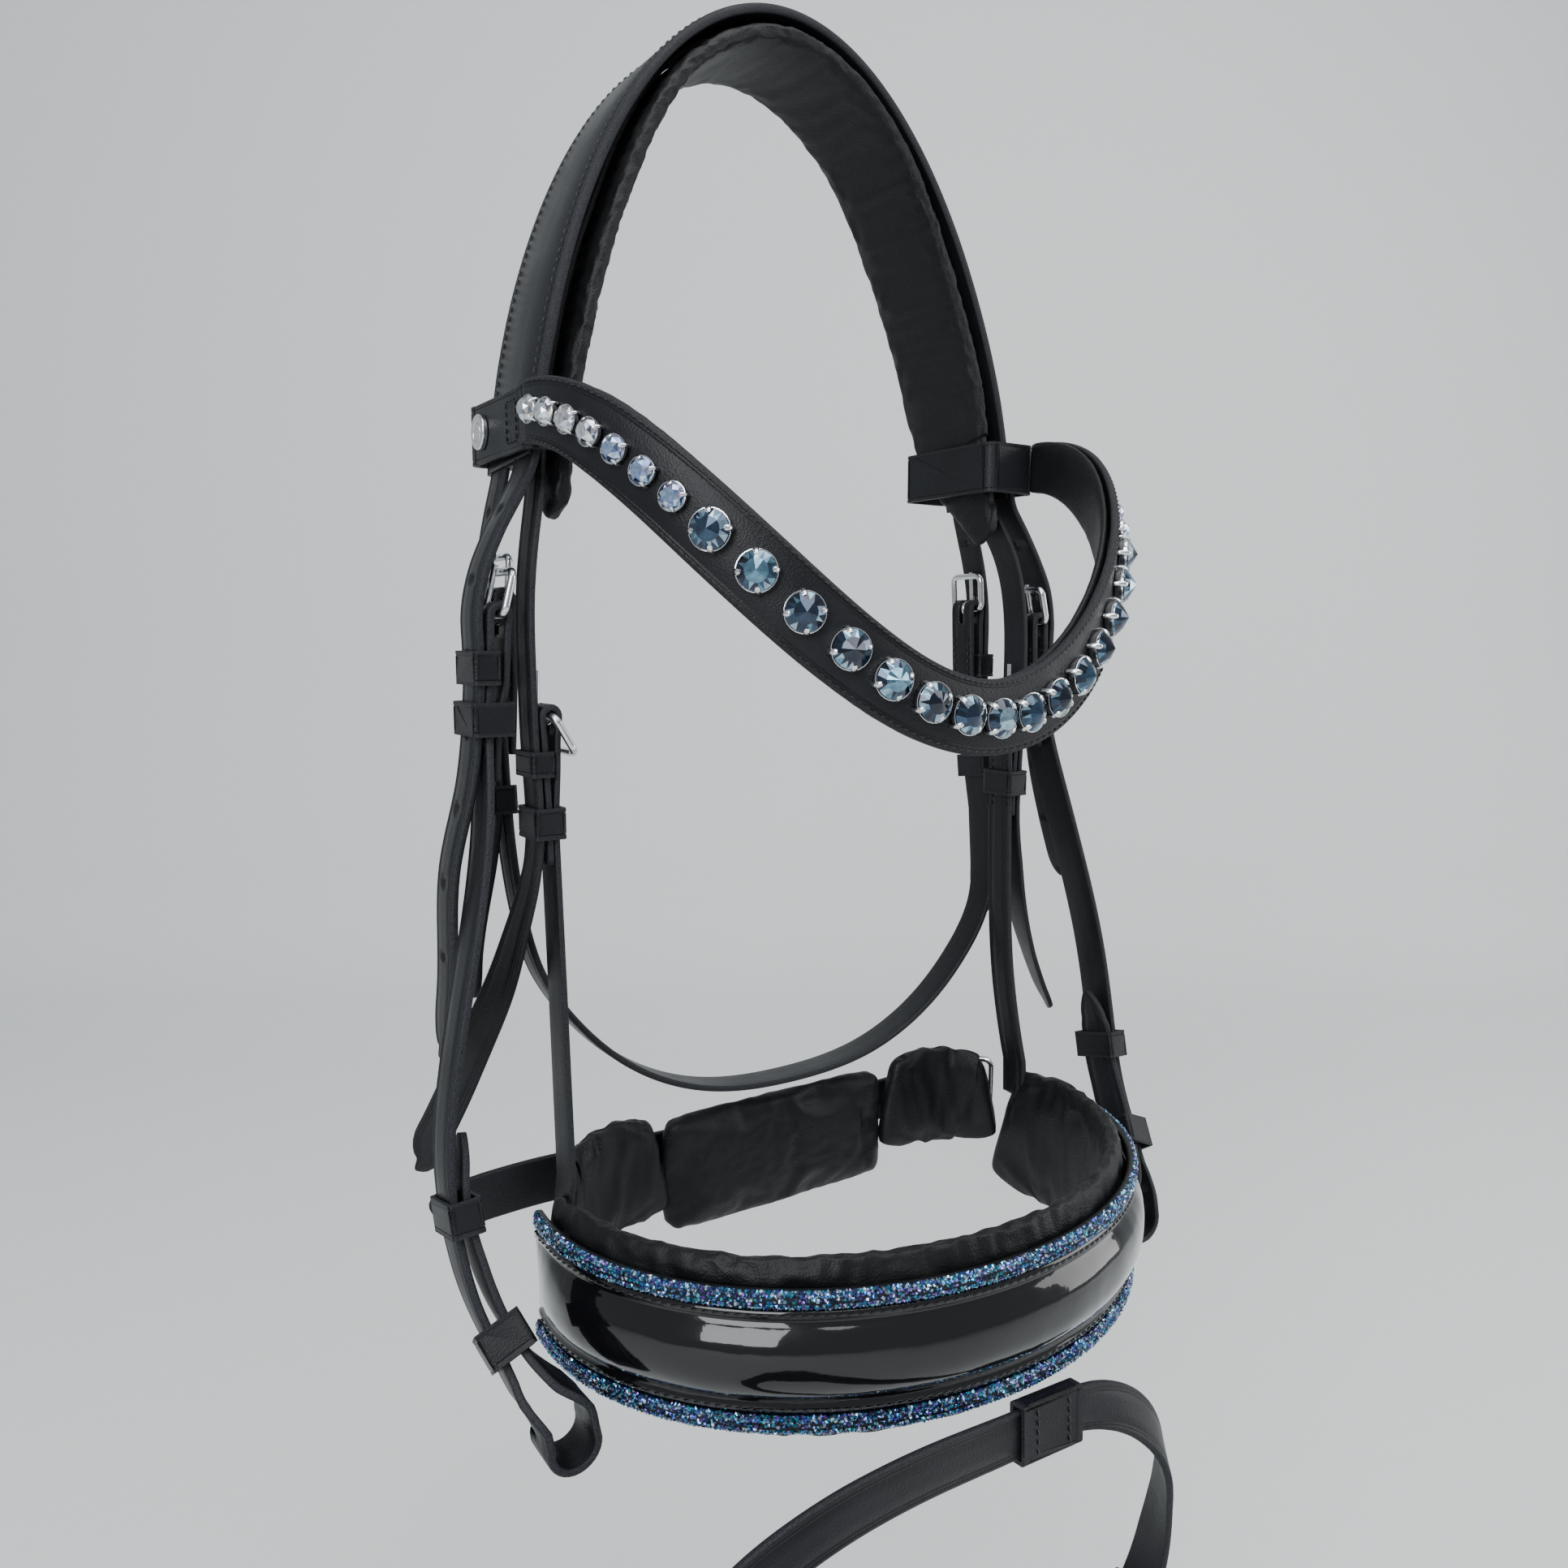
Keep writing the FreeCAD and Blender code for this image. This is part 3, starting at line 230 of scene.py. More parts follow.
def gem(name, roughness=0.04):
    """Foiled crystal: each facet keeps its own tint under a clear, hard coat; the tints mix the crystal's
    colour with painted light and dark reflections.
    """
    material, tree, shader = new_material(name, (0.5, 0.5, 0.5), roughness, 0.85)
    tint = attribute(tree, "tint", "Color")
    sheen = noise_texture(tree, 700.0, 2.0)
    dim = mix_colour(tree, remap(tree, sheen, 0.35, 0.7, 0, 1), (0.55, 0.55, 0.6), (1.0, 1.0, 1.0))
    product = tree.nodes.new("ShaderNodeVectorMath")
    product.operation = "MULTIPLY"
    tree.links.new(tint, product.inputs[0])
    tree.links.new(dim, product.inputs[1])
    tree.links.new(product.outputs["Vector"], shader.inputs["Base Color"])
    shader.inputs["Coat Weight"].default_value = 1.0
    shader.inputs["Coat Roughness"].default_value = 0.01
    shader.inputs["Coat IOR"].default_value = 1.45
    return material


def thread_material():
    material, tree, shader = new_material("waxed_thread", (0.008, 0.008, 0.010), 0.42)
    twist = add_node(tree, "ShaderNodeTexWave", Scale=900.0, Distortion=1.0)
    tree.links.new(coordinates(tree), twist.inputs["Vector"])
    bump(tree, shader, twist.outputs["Fac"], 0.0001)
    return material


def plaster(name, colour):
    material, tree, shader = new_material(name, colour, 0.85)
    bump(tree, shader, noise_texture(tree, 60.0, 5.0), 0.0008)
    return material


# ------------------------------------------------------------ reading the CAD

def welded(node):
    mesh = bmesh.new()
    mesh.from_mesh(nodes[node].data)
    bmesh.ops.remove_doubles(mesh, verts=mesh.verts, dist=2e-6)
    return mesh


def round_rims(links, place, corners):
    """Middles of the small round holes: groups of linked sharp points with no corner among them."""
    rims, seen = [], set(corners)
    for start in sorted(links):
        if start in seen:
            continue
        rim, front = [start], [start]
        seen.add(start)
        while front:
            for i in links[front.pop()]:
                if i not in seen:
                    seen.add(i)
                    rim.append(i)
                    front.append(i)
        points = np.array([place[i] for i in rim])
        if len(rim) > 6 and np.ptp(points, axis=0).max() < 4 * MM:
            rims.append(points.mean(0))
    return rims


def sharp_chains(mesh, straight):
    """Chains of sharp edges that run on nearly straight, rims of round holes, and corners."""
    links = {}
    for edge in mesh.edges:
        if len(edge.link_faces) == 2 and edge.calc_face_angle(0.0) > SHARP:
            for vert in edge.verts:
                links.setdefault(vert.index, []).append(edge.other_vert(vert).index)
    place = {v.index: np.array(v.co) for v in mesh.verts}

    def onward(before, here):
        """The next point of a chain, or None where every way on turns sharply."""
        heading = unit(place[here] - place[before])
        ways = [(float(unit(place[i] - place[here]) @ heading), i) for i in links[here] if i != before]
        best = max(ways, default=(0.0, None))
        return best[1] if best[0] > math.cos(straight) else None

    corners = {i for i, near in links.items() if len(near) >= 3}
    chains = []
    for start in sorted(corners):
        for first in links[start]:
            chain, passed = [start, first], {start, first}
            step = onward(start, first)
            while step is not None and step not in passed:
                chain.append(step)
                passed.add(step)
                step = onward(chain[-2], step)
            chains.append(np.array([place[i] for i in chain]))
    return chains, round_rims(links, place, corners), np.array([place[i] for i in sorted(corners)])


def four_rails(chains):
    """The four longest chains that end at different corners."""
    rails = []
    for chain in sorted(chains, key=chain_length, reverse=True):
        ends = [end for rail in rails for end in (rail[0], rail[-1])]
        if all(np.linalg.norm(own - end) > 1e-6 for own in (chain[0], chain[-1]) for end in ends):
            rails.append(chain)
    return rails[:4]


def chain_length(points):
    return float(np.linalg.norm(np.diff(points, axis=0), axis=1).sum())


def densify(points, step=0.2 * MM):
    s = np.concatenate([[0], np.cumsum(np.linalg.norm(np.diff(points, axis=0), axis=1))])
    t = np.linspace(0, s[-1], max(2, int(s[-1] / step)))
    return np.stack([np.interp(t, s, points[:, k]) for k in range(3)], 1), t / s[-1]


def beside(points, rail):
    """For each point, the nearest point of the rail not far from the same share of length."""
    fine, share = densify(rail)
    s = np.concatenate([[0], np.cumsum(np.linalg.norm(np.diff(points, axis=0), axis=1))])
    window = 9 * MM / s[-1] + 0.012
    found = []
    for p, t in zip(points, s / s[-1]):
        near = np.abs(share - t) <= window
        pick = fine[near]
        found.append(pick[np.argmin(np.linalg.norm(pick - p, axis=1))])
    found[0], found[-1] = rail[0], rail[-1]
    return np.array(found)


def unit(vectors):
    return vectors / np.maximum(np.linalg.norm(vectors, axis=-1, keepdims=True), 1e-12)


def catmull(points, index, t):
    """Smooth curve through the points, at share t of the span that starts at index."""
    last = len(points) - 1
    p1, p2 = points[index], points[index + 1]
    p0 = points[index - 1] if index > 0 else 2 * p1 - p2
    p3 = points[index + 2] if index + 2 <= last else 2 * p2 - p1
    d0, d1, d2 = (max(1e-9, float(np.linalg.norm(b - a)) ** 0.5) for a, b in ((p0, p1), (p1, p2), (p2, p3)))
    m1 = (p2 - p1) + d1 * ((p1 - p0) / d0 - (p2 - p0) / (d0 + d1))
    m2 = (p2 - p1) + d1 * ((p3 - p2) / d2 - (p3 - p1) / (d1 + d2))
    a = 2 * (p1 - p2) + m1 + m2
    b = -3 * (p1 - p2) - 2 * m1 - m2
    return ((a * t + b) * t + m1) * t + p1


class Ribbon:
    """A strap's centre line with its width direction, face normal and width."""

    def __init__(self, centre, across, width, thickness):
        self.thickness = thickness
        self.s = np.concatenate([[0], np.cumsum(np.linalg.norm(np.diff(centre, axis=0), axis=1))])
        self.length = float(self.s[-1])
        self.centre = centre
        tangent = unit(np.gradient(centre, self.s, axis=0))
        self.across = unit(across - tangent * (across * tangent).sum(1, keepdims=True))
        self.normal = unit(np.cross(tangent, self.across))
        self.tangent = tangent
        self.width = width

    def take(self, s):
        """Arrays of centre, width direction, normal, tangent and width at distances s."""
        s = np.atleast_1d(np.asarray(s, float))
        lines = [np.stack([np.interp(s, self.s, a[:, k]) for k in range(3)], 1)
                 for a in (self.centre, self.across, self.normal, self.tangent)]
        return lines[0], unit(lines[1]), unit(lines[2]), unit(lines[3]), np.interp(s, self.s, self.width)

    def at(self, distance):
        """Centre, width direction, normal, tangent and width at one distance."""
        return [values[0] for values in self.take(distance)]

    def downward(self):
        """The same ribbon, starting at its upper end."""
        if self.centre[0][2] > self.centre[-1][2]:
            return self
        return Ribbon(self.centre[::-1], self.across[::-1], self.width[::-1], self.thickness)

    def faced(self, towards, share=0.5):
        """The same ribbon with its face normal on the given side at that share of its length."""
        normal = self.take(self.length * share)[2][0]
        if float(normal @ np.array(towards)) < 0:
            self.across = -self.across
            self.normal = -self.normal
        return self

    def nearest(self, point):
        return float(self.s[np.argmin(np.linalg.norm(self.centre - point, axis=1))])

    def extended(self, point, tangent, blend_length):
        """The ribbon led back to a point above its start, arriving along the tangent."""
        keep = self.s > blend_length
        first = int(np.argmax(keep))
        p0, p1 = np.array(point), self.centre[first]
        reach = float(np.linalg.norm(p1 - p0))
        m0, m1 = np.array(tangent) * reach, self.tangent[first] * reach
        t = np.linspace(0, 1, 14)[:-1, None]
        lead = (2 * t**3 - 3 * t**2 + 1) * p0 + (t**3 - 2 * t**2 + t) * m0
        lead = lead + (-2 * t**3 + 3 * t**2) * p1 + (t**3 - t**2) * m1
        count = len(lead)
        centre = np.concatenate([lead, self.centre[first:]])
        across = np.concatenate([np.repeat(self.across[first:first + 1], count, 0), self.across[first:]])
        width = np.concatenate([np.full(count, self.width[first]), self.width[first:]])
        return Ribbon(centre, across, width, self.thickness)


def between_rails(rails):
    """Centre line, width direction, width and thickness of a strap from its four long edges."""
    base = rails[0]
    others = [r if np.linalg.norm(r[0] - base[0]) < np.linalg.norm(r[-1] - base[0]) else r[::-1]
              for r in rails[1:]]
    thick, wide, far = sorted(others, key=lambda r: np.linalg.norm(r[0] - base[0]))
    thickness = float(np.linalg.norm(thick[0] - base[0]))
    at_wide = beside(base, wide)
    if chain_length(rails[3]) < 0.9 * chain_length(base):
        middle = (base + at_wide) / 2
        across = unit(at_wide - base)
        normal = unit(np.cross(np.gradient(middle, axis=0), across))
        if normal[0] @ (thick[0] - base[0]) < 0:
            normal = -normal
        return middle + normal * thickness / 2, across, np.linalg.norm(at_wide - base, axis=1), thickness
    at_thick = beside(base, thick)
    at_far = beside(at_wide, far)
    centre = (base + at_wide + at_thick + at_far) / 4
    across = unit(at_wide - base + at_far - at_thick)
    width = (np.linalg.norm(at_wide - base, axis=1) + np.linalg.norm(at_far - at_thick, axis=1)) / 2
    return centre, across, width, thickness


def read_strap(node, straight=STRAIGHT):
    """Ribbon of a CAD strap, the middles of its round holes, and its slot's corners.

    Where a bored fold breaks an inner edge, the two edges of the outer face are enough.
    """
    mesh = welded(node)
    chains, rims, corners = sharp_chains(mesh, straight)
    mesh.free()
    rails = four_rails(chains)
    centre, across, width, thickness = between_rails(rails)
    fine_centre, fine_across, fine_width = [], [], []
    for i in range(len(centre) - 1):
        span = float(np.linalg.norm(centre[i + 1] - centre[i]))
        if span < 1e-7:
            continue
        count = max(3, int(span / (0.5 * MM)))
        for k in range(count):
            t = k / count
            fine_centre.append(catmull(centre, i, t))
            fine_across.append(across[i] * (1 - t) + across[i + 1] * t)
            fine_width.append(width[i] * (1 - t) + width[i + 1] * t)
    fine_centre.append(centre[-1])
    fine_across.append(across[-1])
    fine_width.append(width[-1])
    ribbon = Ribbon(np.array(fine_centre), unit(np.array(fine_across)), np.array(fine_width), thickness)
    caps = np.array([r[k] for r in rails for k in (0, -1)])
    slot = [c for c in corners if np.linalg.norm(caps - c, axis=1).min() > 1 * MM]
    return ribbon, rims, slot


# ------------------------------------------------------------- mesh building

def add_object(name, verts, faces, material, attributes=None, smooth=True):
    mesh = bpy.data.meshes.new(name)
    mesh.from_pydata([tuple(v) for v in verts], [], faces)
    mesh.update()
    for key, values in (attributes or {}).items():
        layer = mesh.attributes.new(key, "FLOAT", "POINT")
        layer.data.foreach_set("value", np.asarray(values, np.float32))
    for polygon in mesh.polygons:
        polygon.use_smooth = smooth
    item = bpy.data.objects.new(name, mesh)
    bpy.context.scene.collection.objects.link(item)
    mesh.materials.append(material)
    return item


def ring_faces(count, rings, base=0):
    """Faces of a tube of rings with count points each, and a cap at both ends."""
    faces = []
    for i in range(rings - 1):
        for k in range(count):
            a = base + i * count + k
            b = base + i * count + (k + 1) % count
            faces.append((a, b, b + count, a + count))
    last = base + (rings - 1) * count
    faces.append(tuple(base + k for k in range(count))[::-1])
    faces.append(tuple(last + k for k in range(count)))
    return faces


def add_bevel(item, width, segments, degrees):
    bevel = item.modifiers.new("soft edge", "BEVEL")
    bevel.width = width
    bevel.segments = segments
    bevel.limit_method = "ANGLE"
    bevel.angle_limit = math.radians(degrees)


def outward(item):
    mesh = bmesh.new()
    mesh.from_mesh(item.data)
    bmesh.ops.recalc_face_normals(mesh, faces=mesh.faces)
    mesh.to_mesh(item.data)
    mesh.free()
    return item


def strap_profile(half, thickness):
    """Cross-section of flat leather, round its edge: x, y, edge and painted recess-shade shares."""
    k = min(1.0, half / (5 * MM))
    top_r, low_r = 0.46 * thickness, 0.30 * thickness
    points = []
    for a in (180, 150, 120, 95):
        x = -half + top_r * k * (1 + math.cos(math.radians(a)))
        points.append((x, thickness / 2 - top_r + top_r * math.sin(math.radians(a)), a > 100, 0.0))
    # Each groove is offset, depth and share of painted shade; the deeper middle line of each three is
    # darkened.
    grooves = [(1.5, 0, 0), (1.8, 0.2, 1), (2.1, 0, 0), (2.55, 0, 0), (2.8, 0.16, 1), (3.05, 0, 0)]
    for offset, depth, share in grooves:
        points.append((-half + offset * MM * k, thickness / 2 - depth * MM, 0.0, float(share)))
    points.append((-COLUMN * k, thickness / 2, 0.0, 0.0))
    middle = (0.0, thickness / 2, 0.0, 0.0)
    top = points + [middle] + [(-x, y, e, c) for x, y, e, c in points[::-1]]
    low = []
    for a in (0, -35, -65, -90):
        x = half - low_r * k * (1 - math.cos(math.radians(a)))
        low.append((x, -thickness / 2 + low_r + low_r * math.sin(math.radians(a)), a > -80, 0.0))
    low.append((COLUMN * k, -thickness / 2, 0.0, 0.0))
    bottom = low + [(0.0, -thickness / 2, 0.0, 0.0)] + [(-x, y, e, c) for x, y, e, c in low[::-1]]
    return top + bottom, len(top)


def ring_distances(length, tips, openings):
    """Distances of the rings: even spacing, closer at a tip, and fixed at each opening."""
    marks = list(np.linspace(0, length, max(3, int(length / STEP))))
    for at_end in tips:
        fine = [k * MM for k in (0.12, 0.35, 0.7, 1.2, 1.9, 2.8, 4.0, 5.4, 7.0, 9.0, 11.0)]
        marks = [m for m in marks if (length - m if at_end else m) > 12 * MM]
        marks += [length - d if at_end else d for d in [0.0] + fine]
    for first, last, is_round in openings:
        if is_round:
            middle = (first + last) / 2
            fixed = [middle - HOLE_R, middle, middle + HOLE_R]
        else:
            fixed = list(np.linspace(first, last, max(3, int((last - first) / (1.0 * MM)))))
        marks = [m for m in marks if m < fixed[0] - 0.7 * MM or m > fixed[-1] + 0.7 * MM] + fixed
    return np.array(sorted(marks))


def tip_factor(distance):
    """Width share near a strap's end: a blunt point."""
    share = min(1.0, max(0.0, distance / TIP_LENGTH))
    return 0.06 + 0.94 * math.sin(share * math.pi / 2) ** 0.72


def narrow_tips(ribbon, distances, width, tips):
    """Bring the ring widths down to a point at each tip."""
    for at_end in tips:
        full = float(ribbon.at(ribbon.length - TIP_LENGTH if at_end else TIP_LENGTH)[4])
        for i, d in enumerate(distances):
            gap = ribbon.length - d if at_end else d
            if gap < TIP_LENGTH:
                width[i] = full * tip_factor(gap)


def opening_rings(distances, openings):
    """First and last ring of each opening, and whether it is round."""
    found = []
    for first, last, is_round in openings:
        if is_round:
            middle = int(np.argmin(np.abs(distances - (first + last) / 2)))
            found.append((middle - 1, middle + 1, True))
        else:
            low, high = (int(np.argmin(np.abs(distances - d))) for d in (first, last))
            found.append((low, high, False))
    return found


def opening_loop(first, last, top):
    """Ring and column of each point round an opening of the outer face."""
    loop = [(first, top - 1), (first, top), (first, top + 1)]
    loop += [(i, top + 1) for i in range(first + 1, last)]
    loop += [(last, top + 1), (last, top), (last, top - 1)]
    return loop + [(i, top - 1) for i in range(last - 1, first, -1)]


def round_hole(verts, loop, count, partner, ribbon, distance):
    """Move the points of a round opening on to its circle; returns their indices."""
    c, a, n, t, _ = ribbon.at(distance)
    middle = loop[0][0] + 1
    top = loop[1][1]
    moved = []
    for i, k in loop:
        side = k - top
        ahead = i - middle
        scale = HOLE_R * (math.sqrt(0.5) if side and ahead else 1.0)
        for column, face in ((k, 1), (partner[k], -1)):
            index = i * count + column
            sideways = a * scale * side
            if (verts[index] - c) @ sideways < 0:
                sideways = -sideways
            verts[index] = c + n * (face * ribbon.thickness / 2) + sideways + t * scale * ahead
            moved.append(index)
    return moved


def sweep_strap(name, ribbon, tips=(), openings=()):
    """Leather strap along a ribbon, with cut edges, creases, points and punched openings."""
    distances = ring_distances(ribbon.length, tips, openings)
    centre, across, normal, _, width = ribbon.take(distances)
    narrow_tips(ribbon, distances, width, tips)
    verts, edge, recess_shade = [], [], []
    for c, a, n, w in zip(centre, across, normal, width):
        outline, top_count = strap_profile(w / 2, ribbon.thickness)
        sway = noise.noise(Vector(c) * 45.0) * 0.06 * MM
        for x, y, e, g in outline:
            verts.append(c + a * (x + sway) + n * y)
            edge.append(float(e))
            recess_shade.append(g)
    count = len(outline)
    top = top_count // 2
    low = top_count + (count - top_count) // 2
    partner = {top - 1: low + 1, top: low, top + 1: low - 1}
    cut = {top - 1, top, low - 1, low}
    holes = opening_rings(distances, openings)
    faces = []
    for index, face in enumerate(ring_faces(count, len(distances))):
        ring, column = divmod(index, count)
        if column not in cut or not any(first <= ring < last for first, last, _ in holes):
            faces.append(face)
    for first, last, is_round in holes:
        loop = opening_loop(first, last, top)
        for (i, k), (i2, k2) in zip(loop, loop[1:] + loop[:1]):
            faces.append((i * count + k, i2 * count + k2, i2 * count + partner[k2], i * count + partner[k]))
        if is_round:
            for index in round_hole(verts, loop, count, partner, ribbon, distances[first + 1]):
                edge[index] = 1.0
                # Painted shade round the rim of each punched hole.
                recess_shade[index] = 0.6
    item = add_object(name, verts, faces, strap_leather, {"edge": edge, "recess_shade": recess_shade})
    drop_loose(item)
    return outward(item)


def drop_loose(item):
    mesh = bmesh.new()
    mesh.from_mesh(item.data)
    bmesh.ops.delete(mesh, geom=[v for v in mesh.verts if not v.link_faces], context="VERTS")
    mesh.to_mesh(item.data)
    mesh.free()


def slot_range(ribbon, corners):
    """Where a slot starts and ends; a corner matched to a strand beside it is left out."""
    marks = np.array([ribbon.nearest(c) for c in corners])
    marks = marks[np.abs(marks - np.median(marks)) < 20 * MM]
    return (marks.min() - 0.3 * MM, marks.max() + 0.3 * MM, False)


def strap_openings(ribbon, rims, slot):
    openings = []
    for point in rims:
        d = ribbon.nearest(point)
        if all(abs(d - (a + b) / 2) > 4 * MM for a, b, _ in openings):
            openings.append((d, d, True))
    groups = []
    for corner in slot:
        for group in groups:
            if np.linalg.norm(group[0] - corner) < 25 * MM:
                group.append(corner)
                break
        else:
            groups.append([corner])
    openings += [slot_range(ribbon, g) for g in groups if len(g) > 3]
    return openings


class Stitches:
    """Rows of short thread stitches, gathered into one mesh."""

    def __init__(self, pitch=3.4 * MM, length=2.5 * MM, radius=0.33 * MM, slant=0.16):
        self.pitch, self.length, self.radius, self.slant = pitch, length, radius, slant
        self.verts, self.faces = [], []

    def add(self, point, along, across, normal):
        along = unit(along + across * self.slant)
        side = unit(np.cross(normal, along))
        base = len(self.verts)
        for share, scale, lift in ((-0.5, 0.35, -0.6), (-0.32, 0.95, 0.25), (0.0, 1.0, 0.55),
                                   (0.32, 0.95, 0.25), (0.5, 0.35, -0.6)):
            middle = point + along * self.length * share + normal * self.radius * lift
            for k in range(6):
                a = math.pi * k / 3
                self.verts.append(middle + (side * math.cos(a) + normal * math.sin(a)) * self.radius * scale)
        self.faces += ring_faces(6, 5, base)

    def row(self, ribbon, first, last, inset, face=1.0, lift=0.0):
        """Row along a ribbon, inset from an edge (positive from the +side, negative from the other)."""
        count = max(1, int((last - first) / self.pitch))
        for i in range(count):
            d = first + (i + 0.5) * (last - first) / count
            c, a, n, t, w = ribbon.at(d)
            x = (w / 2 - abs(inset)) * math.copysign(1, inset)
            point = c + a * x + n * face * (ribbon.thickness / 2 + lift)
            self.add(point, t, a, n * face)

    def line(self, start, end, normal):
        start, end, normal = (np.array(v, float) for v in (start, end, normal))
        count = max(1, round(float(np.linalg.norm(end - start)) / self.pitch))
        along = unit(end - start)
        across = np.cross(normal, along)
        for i in range(count):
            self.add(start + (end - start) * (i + 0.5) / count, along, across, normal)

    def build(self, name):
        return outward(add_object(name, self.verts, self.faces, thread))


# ------------------------------------------------------------------- keepers

def islands(node):
    """Vertices and triangles of each separate solid of a CAD node."""
    mesh = welded(node)
    left = set(mesh.verts)
    found = []
    while left:
        seed = min(left, key=lambda v: v.index)
        group, todo = {seed}, [seed]
        while todo:
            for edge in todo.pop().link_edges:
                for vert in edge.verts:
                    if vert not in group:
                        group.add(vert)
                        todo.append(vert)
        left -= group
        order = {v: i for i, v in enumerate(sorted(group, key=lambda v: v.index))}
        faces = [tuple(order[v] for v in f.verts) for f in mesh.faces if f.verts[0] in group]
        found.append((np.array([v.co for v in order]), faces))
    mesh.free()
    return found


def ring_axes(verts, faces):
    """Along, across and normal directions of a keeper: few faces look along it."""
    total = np.zeros((3, 3))
    for f in faces:
        area = np.cross(verts[f[1]] - verts[f[0]], verts[f[2]] - verts[f[0]])
        size = float(np.linalg.norm(area))
        if size > 1e-12:
            total += np.outer(area, area) / size
    _, vectors = np.linalg.eigh(total)
    return vectors[:, 0], vectors[:, 1], vectors[:, 2]


def press_grooves(mesh, along, grooves, low, high):
    """Cut lines round a ring and press the middle one of each three in; returns the pressed points."""
    cuts = sorted({low + g * MM for g in grooves} | {high - g * MM for g in grooves})
    for cut in cuts:
        geometry = mesh.verts[:] + mesh.edges[:] + mesh.faces[:]
        bmesh.ops.bisect_plane(mesh, geom=geometry, plane_co=along * cut, plane_no=along, dist=1e-7)
    mesh.normal_update()
    centre = sum((v.co for v in mesh.verts), Vector()) / len(mesh.verts)
    pressed = cuts[1::3]
    rim = {v for v in mesh.verts if any(abs(v.co.dot(along) - c) < 1e-6 for c in pressed)}
    moves = {}
    for vert in rim:
        radial = vert.co - centre
        radial -= along * radial.dot(along)
        if vert.normal.dot(radial) > 0:
            moves[vert] = -vert.normal * GROOVE_DEPTH
    for vert, move in moves.items():
        vert.co += move
    return moves


def grooved_ring(name, verts, faces, along, grooves):
    """CAD leather ring or wall with pressed grooves and softened rims."""
    mesh = bmesh.new()
    made = [mesh.verts.new(v) for v in verts]
    for f in faces:
        mesh.faces.new([made[i] for i in f])
    along = Vector(along)
    spread = [v.co.dot(along) for v in mesh.verts]
    low, high = min(spread), max(spread)
    pressed = press_grooves(mesh, along, grooves, low, high)
    bmesh.ops.dissolve_limit(mesh, angle_limit=math.radians(0.5), verts=mesh.verts[:], edges=mesh.edges[:])
    edge_layer = mesh.verts.layers.float.new("edge")
    recess_shade_layer = mesh.verts.layers.float.new("recess_shade")
    for vert in mesh.verts:
        height = vert.co.dot(along)
        vert[edge_layer] = 1.0 if min(height - low, high - height) < 0.05 * MM else 0.0
        # Painted shade along the pressed grooves.
        vert[recess_shade_layer] = 1.0 if vert in pressed else 0.0
    data = bpy.data.meshes.new(name)
    mesh.to_mesh(data)
    mesh.free()
    item = bpy.data.objects.new(name, data)
    bpy.context.scene.collection.objects.link(item)
    data.materials.append(strap_leather)
    add_bevel(item, 0.38 * MM, 3, 38)
    for polygon in data.polygons:
        polygon.use_smooth = True
    item.data.set_sharp_from_angle(angle=math.radians(35))
    return item


def bake(item):
    """Replace an object's mesh by its mesh after modifiers."""
    bpy.context.view_layer.update()
    graph = bpy.context.evaluated_depsgraph_get()
    data = bpy.data.meshes.new_from_object(item.evaluated_get(graph))
    item.modifiers.clear()
    item.data = data
    return item


def joined(name, items):
    """One object from several, keeping their materials and attributes."""
    bpy.ops.object.select_all(action="DESELECT")
    for item in items:
        item.select_set(True)
    bpy.context.view_layer.objects.active = items[0]
    bpy.ops.object.join()
    items[0].name = name
    items[0].data.name = name
    return items[0]


def grooved_skin(node, body, along, grooves=(1.2, 1.5, 1.8)):
    """Skin of a node's only solid."""
    verts, faces = islands(node)[0]
    item = bake(grooved_ring(node + "_skin", verts, faces, along, grooves))
    return cover(item, body, "bridle_leather", node)


def build_keepers(node, body, grooves=(1.3, 1.6, 1.9)):
    """Skins of a node's keepers, joined as one piece."""
    rings = []
    for index, (verts, faces) in enumerate(islands(node)):
        along, _, _ = ring_axes(verts, faces)
        rings.append(bake(grooved_ring(f"{node}_{index}", verts, faces, along, grooves)))
    item = joined(node + "_skin", rings) if len(rings) > 1 else rings[0]
    item.name = node + "_skin"
    return cover(item, body, "bridle_leather", node)


def cover(item, body, slot, *replaced):
    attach(item, body)
    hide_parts(*replaced)
    return item


# -------------------------------------------------------------------- straps

def build_crown():
    ribbon, _, _ = read_strap("crown_strap")
    ribbon.faced((0, 0, 1))
    item = sweep_strap("crown_leather", ribbon)
    cover(item, "headpiece", "bridle_leather", "crown_strap")
    stitches = Stitches()
    for inset in (4.2 * MM, -4.2 * MM):
        stitches.row(ribbon, 6 * MM, ribbon.length - 6 * MM, inset)
    cover(stitches.build("crown_stitches"), "headpiece", "bridle_leather")
    return ribbon


def build_sliphead():
    ribbon, _, _ = read_strap("sliphead_strap")
    ribbon.faced((0, 0, 1))
    item = sweep_strap("sliphead_leather", ribbon, (False, True))
    cover(item, "headpiece", "bridle_leather", "sliphead_strap")


